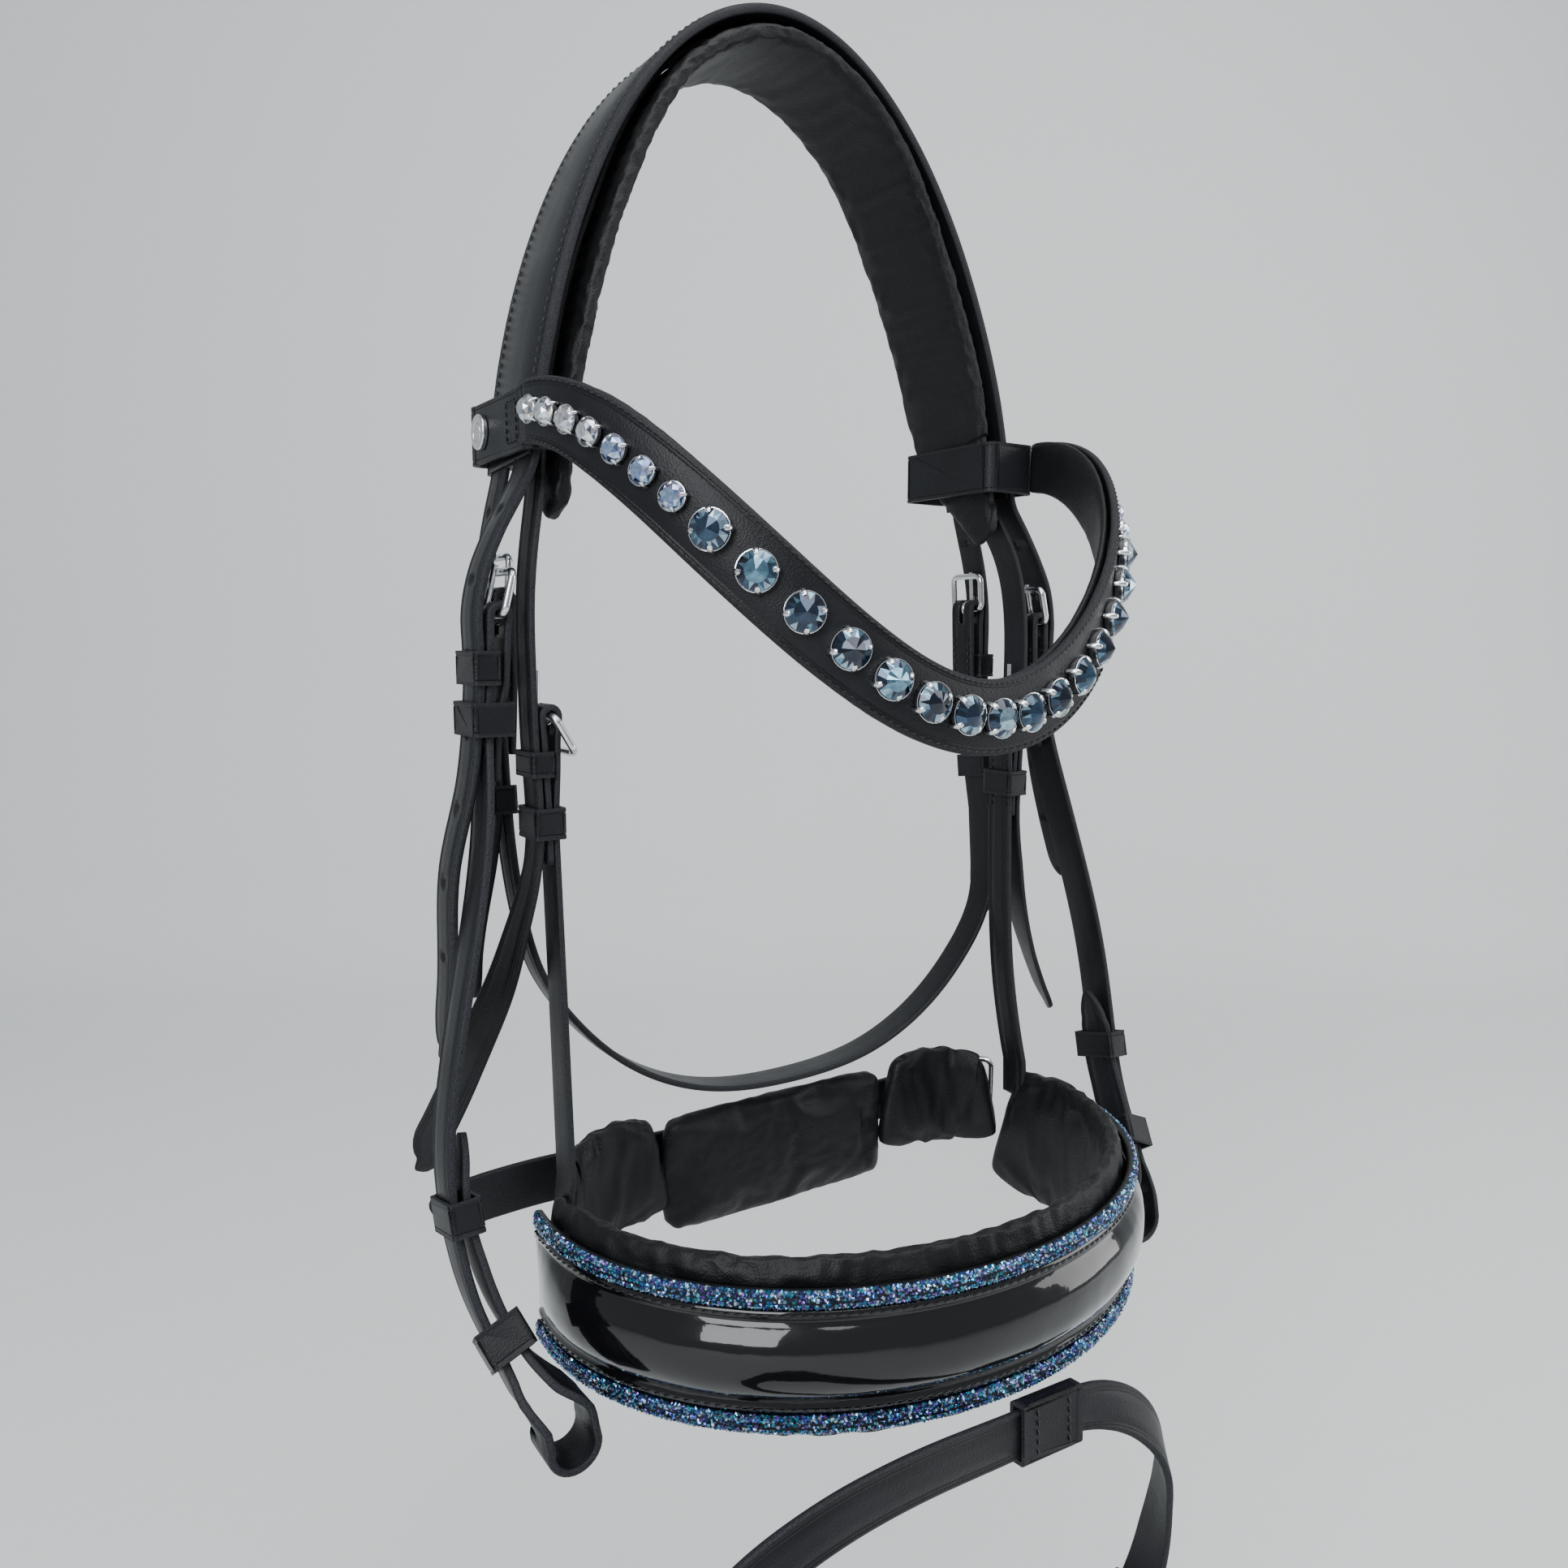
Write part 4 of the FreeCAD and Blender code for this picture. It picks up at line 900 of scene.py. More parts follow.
def build_billets(crown):
    """Front and rear branches: each bends out of the crown inside the browband loop."""
    for side, sign in SIDES:
        for kind, body in (("cheek_billet", side + "_cheek"), ("throat_billet", "throatlash")):
            node = f"{side}_{kind}"
            ribbon, rims, slot = read_strap(node)
            ribbon = ribbon.downward()
            above = [i for i in range(len(crown.centre))
                     if crown.centre[i][0] * sign > 0 and crown.centre[i][2] < CROWN_BRANCH]
            pick = max(above, key=lambda i: crown.centre[i][2])
            start = np.array([crown.centre[pick][0], ribbon.centre[0][1], crown.centre[pick][2]])
            downward = crown.tangent[pick] * (-1 if crown.tangent[pick][2] > 0 else 1)
            ribbon = ribbon.extended(start, downward, 5 * MM).faced((sign, 0, 0), 0.4)
            item = sweep_strap(node + "_leather", ribbon, (True,), strap_openings(ribbon, rims, slot))
            tuple(ribbon.take(14 * MM)[0][0])
            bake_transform(item)
            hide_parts(node)


def stitch_folds(name, body, ribbon, *legs):
    """Two stitch rows along each folded leg of a strap, given by its ends."""
    stitches = Stitches(3.0 * MM, 2.2 * MM, 0.28 * MM)
    for first, last in legs:
        for inset in (2.2 * MM, -2.2 * MM):
            stitches.row(ribbon, first, last, inset)
    cover(stitches.build(name), body, "bridle_leather")


def build_cheekpieces():
    for side, sign in SIDES:
        ribbon, rims, slot = read_strap(side + "_cheekpiece", BORED_STRAIGHT)
        ribbon = ribbon.downward().faced((sign, 0, 0), 0.4)
        slot = [corner for corner in slot if corner[2] > ribbon.centre[0][2]]
        item = sweep_strap(side + "_cheek_leather", ribbon, (True,), strap_openings(ribbon, rims, slot))
        cover(item, side + "_cheek", "bridle_leather", side + "_cheekpiece")
        stitch_folds(side + "_cheek_stitches", side + "_cheek", ribbon,
                     (4 * MM, 44 * MM), (72 * MM, 108 * MM))


def build_throatlash():
    ribbon, rims, slot = read_strap("throatlash_strap")
    ribbon.faced((0, 0, -1))
    item = sweep_strap("throatlash_leather", ribbon, (), strap_openings(ribbon, rims, slot))
    cover(item, "throatlash", "bridle_leather", "throatlash_strap")
    end = ribbon.length
    stitch_folds("throatlash_stitches", "throatlash", ribbon,
                 (4 * MM, 42 * MM), (end - 42 * MM, end - 4 * MM))


def build_noseband_straps():
    for side, sign in SIDES:
        node = side + "_noseband_side_strap"
        ribbon, rims, slot = read_strap(node)
        ribbon = ribbon.downward().faced((-sign, 0, 0), 0.7)
        low = ribbon.centre[-1]
        count = 11
        tuck = np.linspace(0, 1, count + 1)[1:, None]
        drop = np.array([sign * 1.5, 1.0, -16.0]) * MM
        centre = np.concatenate([ribbon.centre, low + drop * tuck])
        across = np.concatenate([ribbon.across, np.repeat(ribbon.across[-1:], count, 0)])
        width = np.concatenate([ribbon.width, np.full(count, ribbon.width[-1])])
        longer = Ribbon(centre, across, width, ribbon.thickness)
        item = sweep_strap(node + "_leather", longer, (), strap_openings(longer, rims, slot))
        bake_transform(item)
        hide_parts(node)
        stitch_folds(side + "_noseband_strap_stitches", "headpiece", ribbon,
                     (4 * MM, 40 * MM), (66 * MM, 106 * MM))


def build_crank_and_flash():
    """Two straps with a point at their narrow end."""
    for name, body, towards, share in (("crank", "noseband", (0, 1, 0), 0.5),
                                       ("flash", "flash", (0, 0, 1), 0.33)):
        ribbon, rims, slot = read_strap(name + "_strap")
        ribbon.faced(towards, share)
        ends = (bool(ribbon.width[0] > ribbon.width[-1]),)
        item = sweep_strap(name + "_leather", ribbon, ends, strap_openings(ribbon, rims, slot))
        cover(item, body, "bridle_leather", name + "_strap")


def build_all_keepers():
    for side, _ in SIDES:
        build_keepers(side + "_cheek_keepers", side + "_cheek")
        build_keepers(side + "_bit_keepers", side + "_cheek")
        build_keepers(side + "_throat_keepers", "throatlash")
        build_keepers(side + "_noseband_keepers", "headpiece")
    build_keepers("flash_keeper", "flash")
    build_keepers("flash_loop", "flash", (2.2, 2.6, 3.0))
    verts, faces = islands("flash_loop")[0]
    along, across, normal = ring_axes(verts, faces)
    middle = (verts.max(0) + verts.min(0)) / 2
    if normal[1] > 0:
        normal = -normal
    reach = max(abs((verts - middle) @ along)) - 6 * MM
    front = middle + normal * (max((verts - middle) @ normal) + 0.05 * MM)
    stitches = Stitches(2.8 * MM, 2.1 * MM, 0.3 * MM)
    half = 7.5 * MM
    for sign in (-1, 1):
        at = front + along * (sign * reach)
        stitches.line(at - across * half, at + across * half, normal)
    cover(stitches.build("flash_loop_stitches"), "flash", "bridle_leather")


# --------------------------------------------------------- padded leather

def sweep_outline(name, ribbon, outline, material):
    """Closed sweep of an outline given for each distance as (x, y, edge, painted recess shade) points."""
    distances = np.linspace(0, ribbon.length, max(3, int(ribbon.length / PAD_STEP)))
    centre, across, normal, _, width = ribbon.take(distances)
    verts, edge, recess_shade = [], [], []
    for c, a, n, w, d in zip(centre, across, normal, width, distances):
        points = outline(w / 2, d)
        for x, y, e, g in points:
            verts.append(c + a * x + n * y)
            edge.append(e)
            recess_shade.append(g)
    faces = ring_faces(len(points), len(distances))
    return outward(add_object(name, verts, faces, material, {"edge": edge, "recess_shade": recess_shade}))


def pillow_outline(thickness, length, roll=0.0, round_ends=3 * MM):
    """Padded cross-section, thick in the middle and rolled over at one edge."""
    def outline(half, distance):
        near_end = min(distance, length - distance)
        plump = math.sin(min(1.0, near_end / round_ends + 0.3) * math.pi / 2) ** 0.8
        points = []
        count = 36
        for k in range(count):
            a = 2 * math.pi * k / count
            x = math.copysign(abs(math.cos(a)) ** 0.42, math.cos(a))
            y = math.copysign(abs(math.sin(a)) ** 0.75, math.sin(a))
            swell = 1.0 + roll * max(0.0, x) ** 6
            points.append((half * x * (0.93 + 0.07 * plump), thickness / 2 * y * swell * plump, 0.0, 0.0))
        return points
    return outline


def simulate(item, pinned, cap, growth):
    """Inflate padding as cloth from its rest shape, then cap how far each point went."""
    rest = np.array([v.co for v in item.data.vertices])
    group = item.vertex_groups.new(name="sewn")
    for i, share in enumerate(pinned):
        if share > 0:
            group.add([i], float(share), "REPLACE")
    cloth = item.modifiers.new("padding", "CLOTH")
    settings = cloth.settings
    settings.vertex_group_mass = "sewn"
    settings.use_pressure = True
    settings.uniform_pressure_force = 4.0
    settings.shrink_min = -growth
    settings.tension_stiffness = 8
    settings.compression_stiffness = 8
    settings.bending_stiffness = 0.35
    settings.quality = 5
    settings.effector_weights.gravity = 0.0
    scene = bpy.context.scene
    for frame in range(1, CLOTH_FRAMES + 1):
        scene.frame_set(frame)
    bake(item)
    scene.frame_set(1)
    moved = np.array([v.co for v in item.data.vertices]) - rest
    far = np.linalg.norm(moved, axis=1, keepdims=True)
    moved *= np.minimum(1.0, cap / np.maximum(far, 1e-9))
    item.data.vertices.foreach_set("co", (rest + moved).astype(np.float32).ravel())
    item.data.update()
    return item


def subdivided(item):
    modifier = item.modifiers.new("smooth", "SUBSURF")
    modifier.levels = 1
    modifier.render_levels = 1
    return bake(item)


def wrinkle(item, depth, scale, stretch, where=None):
    """Fine leather wrinkles: points move along their normals by stretched noise."""
    mesh = item.data
    normals = [v.normal.copy() for v in mesh.vertices]
    for vert, n in zip(mesh.vertices, normals):
        p = Vector((vert.co.x * stretch[0], vert.co.y * stretch[1], vert.co.z * stretch[2])) * scale
        share = 1.0 if where is None else where(vert.co)
        ridge = abs(noise.noise(p)) * 2.0 - 0.5
        vert.co += n * (depth * share * -ridge)
    mesh.update()
    return item


def padded(name, body, node, ribbon, outline, cap, growth, wrinkles):
    """Padding of a node: swept, filled as cloth, smoothed and wrinkled."""
    item = sweep_outline(name, ribbon, outline, pad_leather)
    simulate(item, pin_ends(item, ribbon), cap, growth)
    subdivided(item)
    wrinkle(item, *wrinkles)
    return cover(item, body, "padding_leather", node)


def build_crown_padding():
    ribbon, _, _ = read_strap("crown_padding")
    ribbon.faced((0, 0, 1))
    if ribbon.across[len(ribbon.across) // 2][1] > 0:
        ribbon.across = -ribbon.across
        ribbon.normal = -ribbon.normal
    outline = pillow_outline(ribbon.thickness * 0.96, ribbon.length, 0.35)
    padded("poll_padding", "headpiece", "crown_padding", ribbon, outline, 1.0 * MM, 0.03,
           (0.32 * MM, 240.0, (1.0, 0.25, 1.0), front_roll))


def front_roll(co):
    """Wrinkles gather on the rolled front edge of the poll padding."""
    return min(1.0, max(0.15, (-co.y - 4 * MM) / (10 * MM)))


def pin_ends(item, ribbon):
    pins = []
    for v in item.data.vertices:
        d = ribbon.nearest(np.array(v.co))
        near = min(d, ribbon.length - d)
        pins.append(1.0 if near < 6 * MM else 0.25)
    return pins


def build_noseband():
    ribbon, _, _ = read_strap("noseband_patent")
    ribbon.faced((0, -1, 0))
    thickness = ribbon.thickness
    length = ribbon.length

    def patent(half, distance):
        near = min(distance, length - distance)
        swell = 4.6 * MM * math.sin(min(1.0, near / (38 * MM)) * math.pi / 2)
        points = []
        shoulder = half - 4.2 * MM
        for k in range(25):
            u = -1 + 2 * k / 24
            lift = swell * (1 - abs(u) ** 2.6)
            points.append((u * shoulder, thickness / 2 - 0.5 * MM + lift, 0.0, 0.0))
        left = [(-half, -thickness / 2, 1.0, 0.0), (-half, thickness * 0.2, 1.0, 0.0),
                (-half + 0.7 * MM, thickness / 2, 0.0, 0.0), (-half + 2.6 * MM, thickness / 2, 0.0, 0.0),
                (-half + 3.4 * MM, thickness / 2 - 0.75 * MM, 0.0, 1.0)]
        right = [(-x, y, e, c) for x, y, e, c in left[::-1]]
        return left + points + right

    item = sweep_outline("noseband_patent_skin", ribbon, patent, patent_black)
    cover(item, "noseband", "patent_leather", "noseband_patent")
    stitches = Stitches(3.3 * MM, 2.4 * MM, 0.34 * MM)
    for inset in (1.7 * MM, -1.7 * MM):
        stitches.row(ribbon, 4 * MM, length - 4 * MM, inset, 1.0, 0.05 * MM)
    cover(stitches.build("noseband_stitches"), "noseband", "patent_leather")
    build_lining()
    for node in ("upper_crystal_trim", "lower_crystal_trim"):
        build_trim(node)


def build_lining():
    ribbon, _, _ = read_strap("noseband_lining")
    ribbon.faced((0, -1, 0))
    outline = pillow_outline(ribbon.thickness * 0.95, ribbon.length, 0.0, 6 * MM)
    padded("noseband_lining_skin", "noseband", "noseband_lining", ribbon, outline, 1.4 * MM, 0.04,
           (0.4 * MM, 95.0, (1.0, 1.0, 0.45)))


CHIP_COLOURS = [
    (0.01, 0.06, 0.16), (0.01, 0.16, 0.26), (0.03, 0.34, 0.42), (0.13, 0.06, 0.36), (0.05, 0.10, 0.45),
    (0.20, 0.38, 0.55), (0.50, 0.60, 0.72), (0.004, 0.012, 0.04), (0.02, 0.22, 0.52), (0.01, 0.03, 0.10),
    (0.02, 0.08, 0.24)]


def build_trim(node):
    """Band of small crystal chips set on a dark tape."""
    ribbon, _, _ = read_strap(node)
    ribbon.faced((0, -1, 0))
    thickness = ribbon.thickness

    def tape(half, distance):
        points = []
        for k in range(20):
            a = 2 * math.pi * k / 20
            x = math.copysign(abs(math.cos(a)) ** 0.6, math.cos(a)) * half * 0.97
            y = math.copysign(abs(math.sin(a)) ** 0.7, math.sin(a)) * thickness / 2 * 0.9
            points.append((x, y, 0.0, 0.0))
        return points

    base = sweep_outline(node + "_tape", ribbon, tape, strap_leather)
    cover(base, "noseband", "crystal_rock", node)
    random.seed(node)
    verts, faces, tints = [], [], []
    rows = 7
    pitch = 1.02 * MM
    steps = int(ribbon.length / pitch)
    for i in range(steps):
        for r in range(rows):
            d = (i + 0.5 + random.uniform(-0.35, 0.35) + 0.5 * (r % 2)) * pitch
            angle = math.radians(8 + 164 * (r + 0.5 + random.uniform(-0.2, 0.2)) / rows)
            c, a, n, t, w = ribbon.at(min(d, ribbon.length - 0.4 * MM))
            x = math.copysign(abs(math.cos(angle)) ** 0.7, math.cos(angle)) * w / 2 * 0.93
            y = abs(math.sin(angle)) ** 0.6 * thickness / 2
            up = unit(a * math.cos(angle) * 0.8 + n * math.sin(angle))
            centre = c + a * x + n * y * 0.92
            add_chip(verts, faces, tints, centre, up, t, random.uniform(0.55, 0.85) * MM)
    item = add_object(node + "_chips", verts, faces, rock, smooth=False)
    paint_faces(item, tints)
    cover(item, "noseband", "crystal_rock")


def add_chip(verts, faces, tints, centre, up, along, radius):
    """Small cut crystal: a leaning point over an uneven five-sided girdle."""
    side = unit(np.cross(up, along))
    along = np.cross(side, up)
    base = len(verts)
    count = 5
    turn = random.uniform(0, math.tau)
    for k in range(count):
        a = turn + math.tau * k / count + random.uniform(-0.25, 0.25)
        r = radius * random.uniform(0.8, 1.15)
        verts.append(centre + (along * math.cos(a) + side * math.sin(a)) * r)
    lean = along * random.uniform(-0.5, 0.5) + side * random.uniform(-0.5, 0.5)
    verts.append(centre + up * radius * random.uniform(0.5, 0.95) + lean * radius)
    verts.append(centre - up * radius * 0.8)
    colour = random.choice(CHIP_COLOURS)
    for k in range(count):
        a, b = base + k, base + (k + 1) % count
        # Painted light: each upper facet is made randomly lighter or darker than the chip's colour.
        painted_facet_light = random.uniform(0.5, 1.5)
        faces.append((a, b, base + count))
        tints.append(tuple(min(1.0, c * painted_facet_light) for c in colour))
        faces.append((b, a, base + count + 1))
        tints.append(colour)


def paint_faces(item, tints):
    """Store a colour per face as a corner colour layer named tint."""
    layer = item.data.color_attributes.new("tint", "FLOAT_COLOR", "CORNER")
    values = []
    for polygon, colour in zip(item.data.polygons, tints):
        values += [*colour, 1.0] * polygon.loop_total
    layer.data.foreach_set("color", values)


# ---------------------------------------------------------------- chin pads

def soft_box(low, high, nx, nz):
    """Closed box with a grid of nx by nz cells on its wide faces, ready to swell."""
    verts, index = [], {}

    def vert(i, j, k):
        key = (i, j, k)
        if key not in index:
            index[key] = len(verts)
            verts.append(np.array([low[0] + (high[0] - low[0]) * i / nx,
                                   low[1] + (high[1] - low[1]) * j / 2,
                                   low[2] + (high[2] - low[2]) * k / nz]))
        return index[key]

    faces = []
    for i in range(nx):
        for k in range(nz):
            faces.append((vert(i, 0, k), vert(i + 1, 0, k), vert(i + 1, 0, k + 1), vert(i, 0, k + 1)))
            faces.append((vert(i, 2, k), vert(i, 2, k + 1), vert(i + 1, 2, k + 1), vert(i + 1, 2, k)))
    for j in range(2):
        for i in range(nx):
            faces.append((vert(i, j, 0), vert(i, j + 1, 0), vert(i + 1, j + 1, 0), vert(i + 1, j, 0)))
            faces.append((vert(i, j, nz), vert(i + 1, j, nz), vert(i + 1, j + 1, nz), vert(i, j + 1, nz)))
        for k in range(nz):
            faces.append((vert(0, j, k), vert(0, j, k + 1), vert(0, j + 1, k + 1), vert(0, j + 1, k)))
            faces.append((vert(nx, j, k), vert(nx, j + 1, k), vert(nx, j + 1, k + 1), vert(nx, j, k + 1)))
    rim = {v for (i, j, k), v in index.items() if i in (0, nx) or k in (0, nz)}
    return verts, faces, rim


def build_centre_pad():
    low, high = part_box("centre_chin_pad")
    verts, faces, rim = soft_box(low, high, 42, 19)
    middle = np.array((low + high) / 2)
    half = np.array((high - low) / 2)
    shaped = []
    for v in verts:
        u = (v - middle) / half
        edge = max(abs(u[0]), abs(u[2]))
        thin = 1.0 - 0.72 * max(0.0, (edge - 0.86) / 0.14) ** 1.6
        corner = (abs(u[0]) ** 8 + abs(u[2]) ** 8) ** 0.125
        squeeze = 1.0 / max(1.0, corner)
        shaped.append(middle + np.array([u[0] * squeeze * half[0], u[1] * half[1] * thin * 0.95,
                                         u[2] * squeeze * half[2]]))
    item = outward(add_object("centre_chin_pad_skin", shaped, faces, pad_leather))
    pins = [1.0 if i in rim else 0.0 for i in range(len(shaped))]
    simulate(item, pins, 2.2 * MM, 0.05)
    subdivided(item)
    wrinkle(item, 0.28 * MM, 130.0, (1.0, 1.0, 1.6))
    cover(item, "noseband", "padding_leather", "centre_chin_pad")


def build_side_pads():
    for side, _ in SIDES:
        node = side + "_chin_side_pad"
        ribbon, _, _ = read_strap(node)
        ribbon.faced((0, 1, 0))
        outline = pillow_outline(ribbon.thickness * 0.95, ribbon.length, 0.0, 5 * MM)
        padded(node + "_skin", "noseband", node, ribbon, outline, 1.5 * MM, 0.06,
               (0.5 * MM, 90.0, (1.6, 1.0, 0.6)))


# ----------------------------------------------------------------- browband

def build_browband():
    ribbon, _, _ = read_strap("browband_leather")
    ribbon.faced((0, -1, 0))
    item = sweep_strap("browband_face", ribbon)
    cover(item, "browband", "bridle_leather", "browband_leather")
    lining, _, _ = read_strap("browband_lining")
    lining.faced((0, -1, 0))
    outline = pillow_outline(lining.thickness * 0.95, lining.length, 0.0)
    backing = sweep_outline("browband_backing", lining, outline, pad_leather)
    wrinkle(backing, 0.15 * MM, 160.0, (1.0, 1.0, 1.0))
    cover(backing, "browband", "padding_leather", "browband_lining")
    stitches = Stitches(2.6 * MM, 1.7 * MM, 0.27 * MM)
    for inset in (1.4 * MM, -1.4 * MM):
        stitches.row(ribbon, 2 * MM, ribbon.length - 2 * MM, inset)
    cover(stitches.build("browband_stitches"), "browband", "bridle_leather")
    build_stones(ribbon)
    build_loops()


def lathe(rings, verts, faces, centre, x_dir, y_dir, z_dir, count=24):
    """Turn (radius, height) pairs about z_dir."""
    base = len(verts)
    for radius, height in rings:
        for k in range(count):
            a = math.tau * k / count
            verts.append(centre + (x_dir * math.cos(a) + y_dir * math.sin(a)) * radius + z_dir * height)
    faces.extend(ring_faces(count, len(rings), base))


def add_prong(verts, faces, centre, x_dir, z_dir, radius, depth, thick):
    """Claw that rises beside the stone and bends in over its edge."""
    y_dir = np.cross(z_dir, x_dir)
    line = [(radius + 0.3 * MM, 0.0), (radius + 0.45 * MM, depth * 0.6), (radius + 0.25 * MM, depth * 0.95),
            (radius - 0.5 * MM, depth + 0.6 * MM), (radius - 1.2 * MM, depth + 0.95 * MM),
            (radius - 1.6 * MM, depth + 1.0 * MM)]
    sizes = [0.8, 0.9, 1.0, 1.05, 0.9, 0.4]
    base = len(verts)
    count = 8
    for (r, h), size in zip(line, sizes):
        for k in range(count):
            a = math.tau * k / count
            lead = x_dir if h < depth * 0.9 else z_dir
            offset = lead * math.cos(a) * thick * size + y_dir * math.sin(a) * thick * size * 1.25
            verts.append(centre + x_dir * r + z_dir * h + offset)
    faces.extend(ring_faces(count, len(line), base))


def cut_stone(verts, faces, tints, centre, x_dir, y_dir, z_dir, radius, height, large, palette):
    """Large stones rise to a point of long facets; small ones have a flat table. Each facet takes a palette
    tint: the stone's colour with painted light and dark reflections.
    """
    base = len(verts)
    count = 16 if large else 8
    turn = random.uniform(0, 0.4)
    if large:
        levels = [(1.0, 0.0), (0.98, 0.14), (0.60, 0.55)]
    else:
        levels = [(1.0, 0.0), (0.99, 0.1), (0.80, 0.55), (0.52, 0.92)]
    for row, (share, lift) in enumerate(levels):
        for k in range(count):
            a = turn + math.tau * (k + 0.5 * (row % 2)) / count
            verts.append(centre + (x_dir * math.cos(a) + y_dir * math.sin(a)) * radius * share
                         + z_dir * height * lift)
    for i in range(len(levels) - 1):
        for k in range(count):
            a, b = base + i * count + k, base + i * count + (k + 1) % count
            up_a, up_b = a + count, b + count
            if i % 2 == 0:
                faces.append((a, b, up_a))
                faces.append((b, up_b, up_a))
            else:
                faces.append((a, b, up_b))
                faces.append((a, up_b, up_a))
            tints.append(random.choice(palette))
            tints.append(random.choice(palette))
    top = base + (len(levels) - 1) * count
    if large:
        verts.append(centre + z_dir * height)
        for k in range(count):
            faces.append((top + k, top + (k + 1) % count, len(verts) - 1))
            tints.append(palette[(k * 7 + int(turn * 20)) % len(palette)])
    else:
        faces.append(tuple(top + k for k in range(count)))
        tints.append(palette[0])
    faces.append(tuple(base + k for k in range(count))[::-1])
    tints.append(palette[0])


# Facet tints of each stone: its own colour with painted light, dark and warm reflections spread over the
# facets.
PALETTES = {
    "clear_stones": [(0.80, 0.84, 0.88), (0.95, 0.97, 1.0), (0.45, 0.48, 0.52), (0.72, 0.66, 0.58),
                     (0.20, 0.22, 0.26), (0.88, 0.90, 0.95)],
    "light_blue_stones": [(0.42, 0.60, 0.86), (0.66, 0.80, 0.97), (0.22, 0.33, 0.62), (0.50, 0.46, 0.72),
                          (0.12, 0.18, 0.36), (0.80, 0.90, 1.0)],
    "dark_blue_stones": [(0.012, 0.035, 0.075), (0.03, 0.09, 0.16), (0.12, 0.28, 0.38), (0.004, 0.012, 0.03),
                         (0.02, 0.06, 0.12), (0.34, 0.52, 0.62), (0.008, 0.02, 0.05)],
}


def build_stones(ribbon):
    settings = {"small_settings": ([], []), "large_settings": ([], [])}
    for node, palette in PALETTES.items():
        random.seed(node)
        large = node.startswith("dark")
        verts, faces, tints = [], [], []
        cup_verts, cup_faces = settings["large_settings" if large else "small_settings"]
        for points, _ in islands(node):
            middle = (points.max(0) + points.min(0)) / 2
            c, a, n, t, _ = ribbon.at(ribbon.nearest(middle))
            offsets = points - points.mean(0)
            radius = float(np.abs(offsets @ t).max())
            heights = (points - c) @ n
            seat = c + n * (float(heights.min()) + 0.25 * (heights.max() - heights.min()))
            floor = c + n * (ribbon.thickness / 2 + 0.1 * MM)
            rise = float((seat - floor) @ n)
            height = float(heights.max()) - float((seat - c) @ n)
            cut_stone(verts, faces, tints, seat, t, a, n, radius, height, large, palette)
            wall = radius + 0.32 * MM
            rings = [(radius * 0.72, 0.0), (radius * 0.9, 0.25 * MM), (wall, rise * 0.6),
                     (wall, rise + 0.12 * MM), (radius + 0.1 * MM, rise + 0.16 * MM),
                     (radius + 0.02 * MM, rise * 0.5)]
            lathe(rings, cup_verts, cup_faces, floor, t, a, n)
            for k in range(4):
                angle = math.radians(45 + 90 * k)
                x_dir = t * math.cos(angle) + a * math.sin(angle)
                add_prong(cup_verts, cup_faces, floor, x_dir, n, radius, rise + 0.2 * MM,
                          0.74 * MM if large else 0.5 * MM)
        item = add_object(node + "_cut", verts, faces, crystal, smooth=False)
        paint_faces(item, tints)
        cover(outward(item), "browband", node.replace("stones", "glass"), node)
    for node, (verts, faces) in settings.items():
        item = outward(add_object(node + "_claws", verts, faces, setting_metal))
        item.data.set_sharp_from_angle(angle=math.radians(40))
        cover(item, "browband", "setting_metal", node)


def build_loops():
    for side, sign in SIDES:
        flap = side + "_loop_flap"
        grooved_skin(side + "_browband_loop", "browband", (0, 0, 1))
        grooved_skin(flap, flap, (0, 0, 1))
        low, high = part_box(flap)
        outer = low.x if sign < 0 else high.x
        x = outer + sign * 0.02 * MM
        front, back = low.y + 2.6 * MM, low.y + 11 * MM
        bottom, top = low.z + 3.4 * MM, high.z - 3.4 * MM
        stitches = Stitches(2.6 * MM, 1.8 * MM, 0.28 * MM)
        for first, last in (((front, bottom), (front, top)), ((back, bottom), (back, top)),
                            ((front, bottom), (back, bottom)), ((front, top), (back, top))):
            stitches.line((x, *first), (x, *last), (sign, 0, 0))
        cover(stitches.build(side + "_flap_stitches"), flap, "bridle_leather")


# -------------------------------------------------------------------- metal

def dress_metal():
    """Buckles, tongues, studs and the roller keep their CAD shape under a nickel finish."""
    kept = ["crank_roller", "flash_buckle", "flash_tongue"]
    for side, _ in SIDES:
        kept += [side + "_" + name for name in ("cheek_buckle", "cheek_tongue", "throat_buckle", "hook_stud",
                                                "noseband_buckle", "noseband_tongue", "press_stud")]
    for name in kept:
        item = nodes[name]
        item.data.materials.clear()
        item.data.materials.append(buckle_nickel)
        add_bevel(item, 0.12 * MM, 2, 40)


# -------------------------------------------------------------- studio setup

def build_stage():
    material = plaster("pale_floor", (0.72, 0.74, 0.74))
    verts, faces = [], []
    profile = [(-3.0, FLOOR_Z), (0.9, FLOOR_Z), (1.15, -0.68), (1.32, -0.5), (1.38, -0.2), (1.4, 2.4)]
    direction = np.array([0.5481, 0.8274, 0.0])
    direction /= np.linalg.norm(direction)
    across = np.array([direction[1], -direction[0], 0.0])
    for distance, height in profile:
        for sideways in (-5.0, 5.0):
            verts.append(direction * distance + across * sideways + np.array([0, 0, height]))
    for i in range(len(profile) - 1):
        faces.append((2 * i, 2 * i + 1, 2 * i + 3, 2 * i + 2))
    floor = add_object("pale_floor", verts, faces, material)
    bevel = floor.modifiers.new("cove", "BEVEL")
    bevel.width = 0.08
    bevel.segments = 6


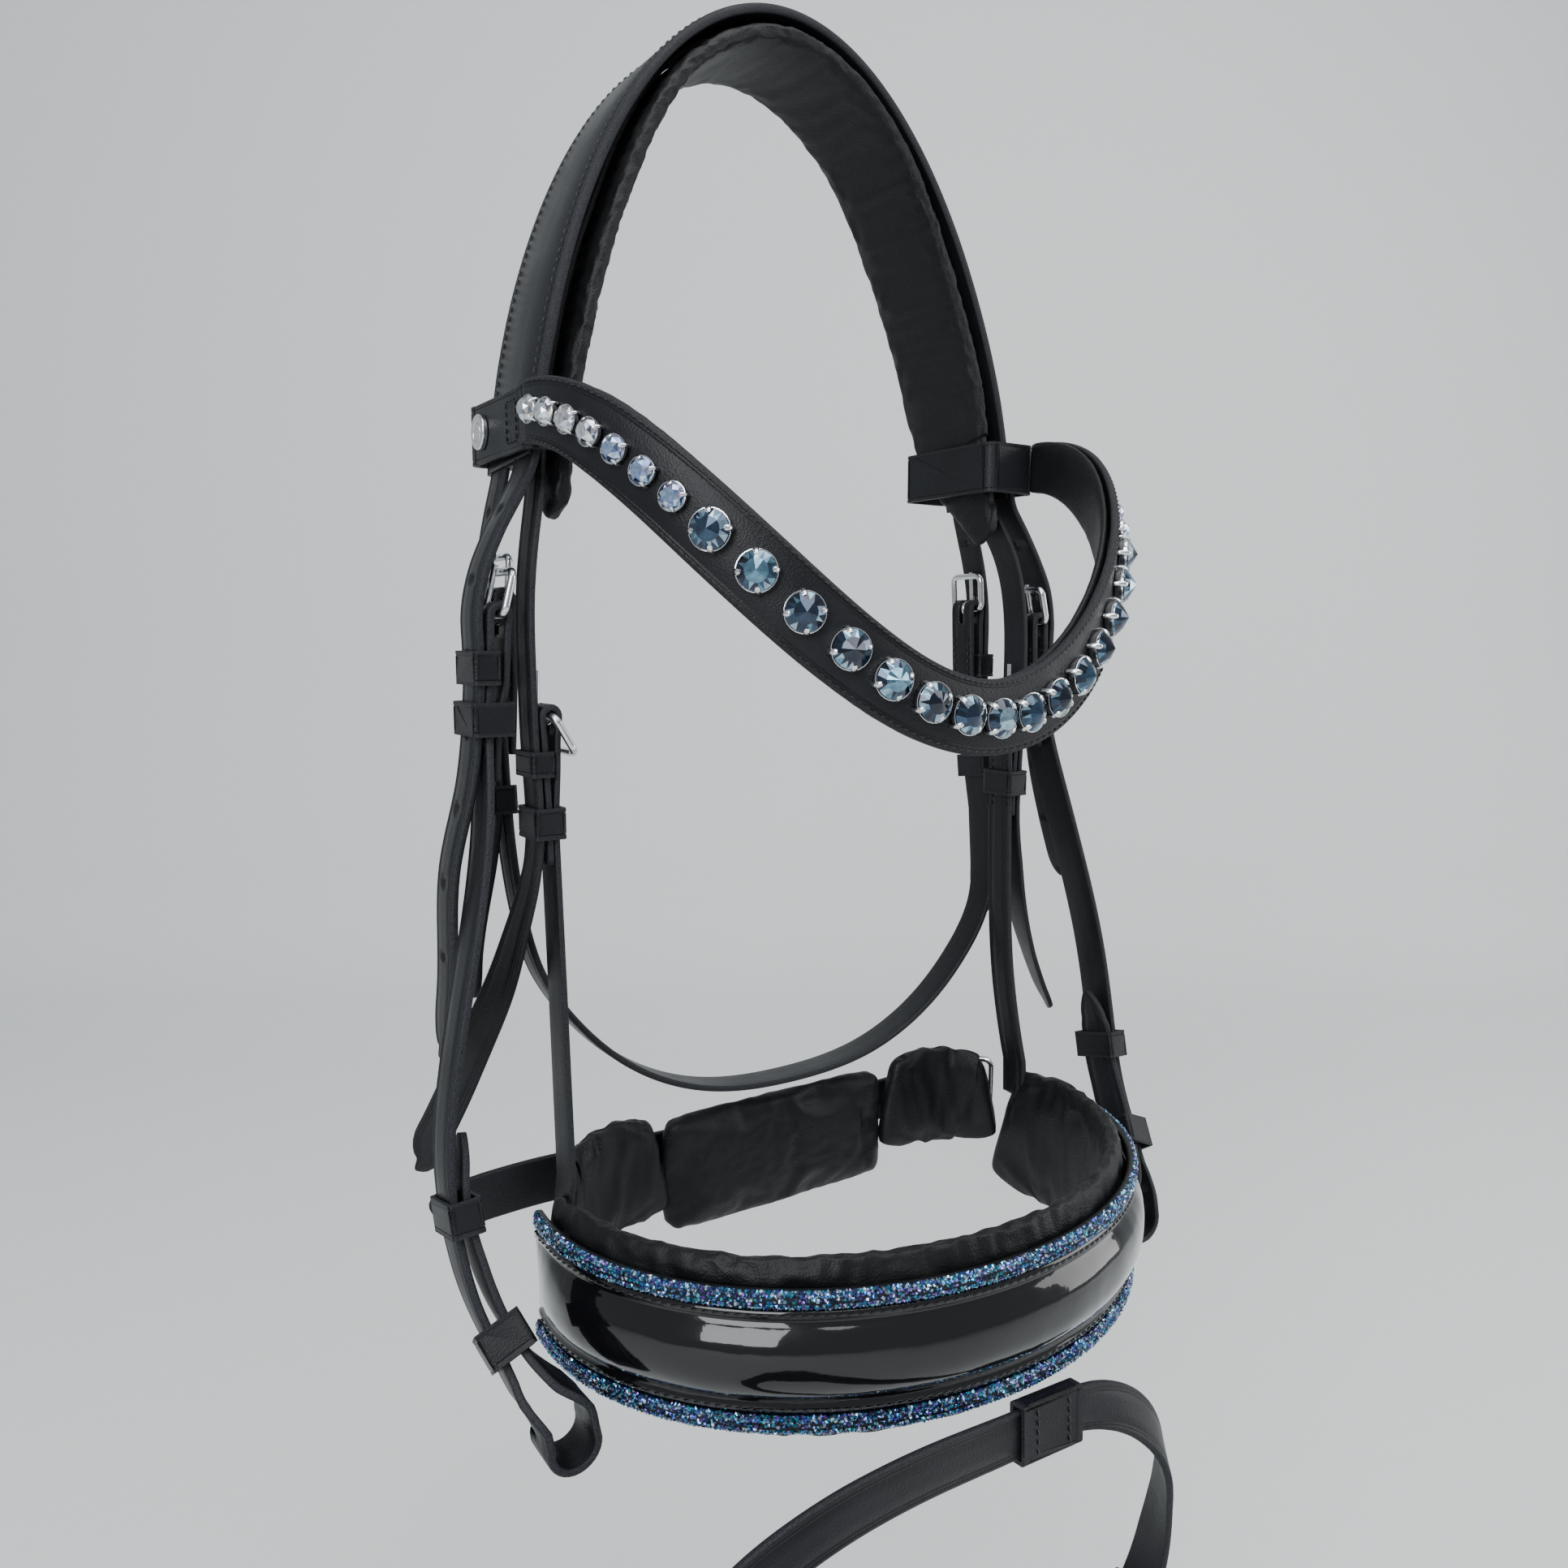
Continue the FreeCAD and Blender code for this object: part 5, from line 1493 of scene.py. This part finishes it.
def add_light(name, location, target, size, power, colour=(1, 1, 1)):
    data = bpy.data.lights.new(name, "AREA")
    data.shape = "RECTANGLE"
    data.size, data.size_y = size
    data.energy = power
    data.color = colour
    item = bpy.data.objects.new(name, data)
    bpy.context.scene.collection.objects.link(item)
    item.location = location
    item.rotation_mode = "QUATERNION"
    item.rotation_quaternion = (Vector(target) - Vector(location)).to_track_quat("-Z", "Y")


def build_lights():
    add_light("window", (-1.5, -1.1, 0.55), (0, 0, -0.35), (0.9, 1.3), 34, (0.95, 0.98, 1.0))
    add_light("ceiling", (0.1, -0.7, 1.2), (0, 0, -0.3), (1.6, 1.2), 26)
    add_light("right_fill", (1.5, -0.9, 0.0), (0, 0, -0.35), (0.8, 1.1), 12)
    world = bpy.data.worlds.new("studio")
    world.use_nodes = True
    background = world.node_tree.nodes["Background"]
    background.inputs["Color"].default_value = (0.80, 0.84, 0.88, 1)
    background.inputs["Strength"].default_value = 0.55
    bpy.context.scene.world = world


def build_camera():
    data = bpy.data.cameras.new("photo_view")
    data.sensor_width = 36
    data.lens = CAMERA_LENS
    data.clip_start = 0.01
    camera = bpy.data.objects.new("photo_view", data)
    bpy.context.scene.collection.objects.link(camera)
    rotation = Matrix((CAMERA_RIGHT, CAMERA_UP, CAMERA_RIGHT.cross(CAMERA_UP))).transposed().to_4x4()
    camera.matrix_world = Matrix.Translation(CAMERA_PLACE) @ rotation
    bpy.context.scene.camera = camera


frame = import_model()
nodes = frame["nodes"]

strap_leather = leather("bridle_leather", (0.0045, 0.005, 0.0065), 0.42, 1500.0, 0.00012)
pad_leather = leather("padding_leather", (0.003, 0.0033, 0.0042), 0.52, 1250.0, 0.00016, 0.6)
patent_black = patent_leather()
buckle_nickel = nickel("polished_nickel", (0.72, 0.73, 0.75), 0.16)
setting_metal = nickel("setting_metal", (0.80, 0.81, 0.83), 0.13)
crystal = gem("foiled_crystal")
rock = gem("crystal_rock", 0.08)
thread = thread_material()

crown = build_crown()
build_sliphead()
build_billets(crown)
build_cheekpieces()
build_throatlash()
build_noseband_straps()
build_crank_and_flash()
build_all_keepers()
build_crown_padding()
build_noseband()
build_centre_pad()
build_side_pads()
build_browband()
dress_metal()
build_stage()
build_lights()
build_camera()
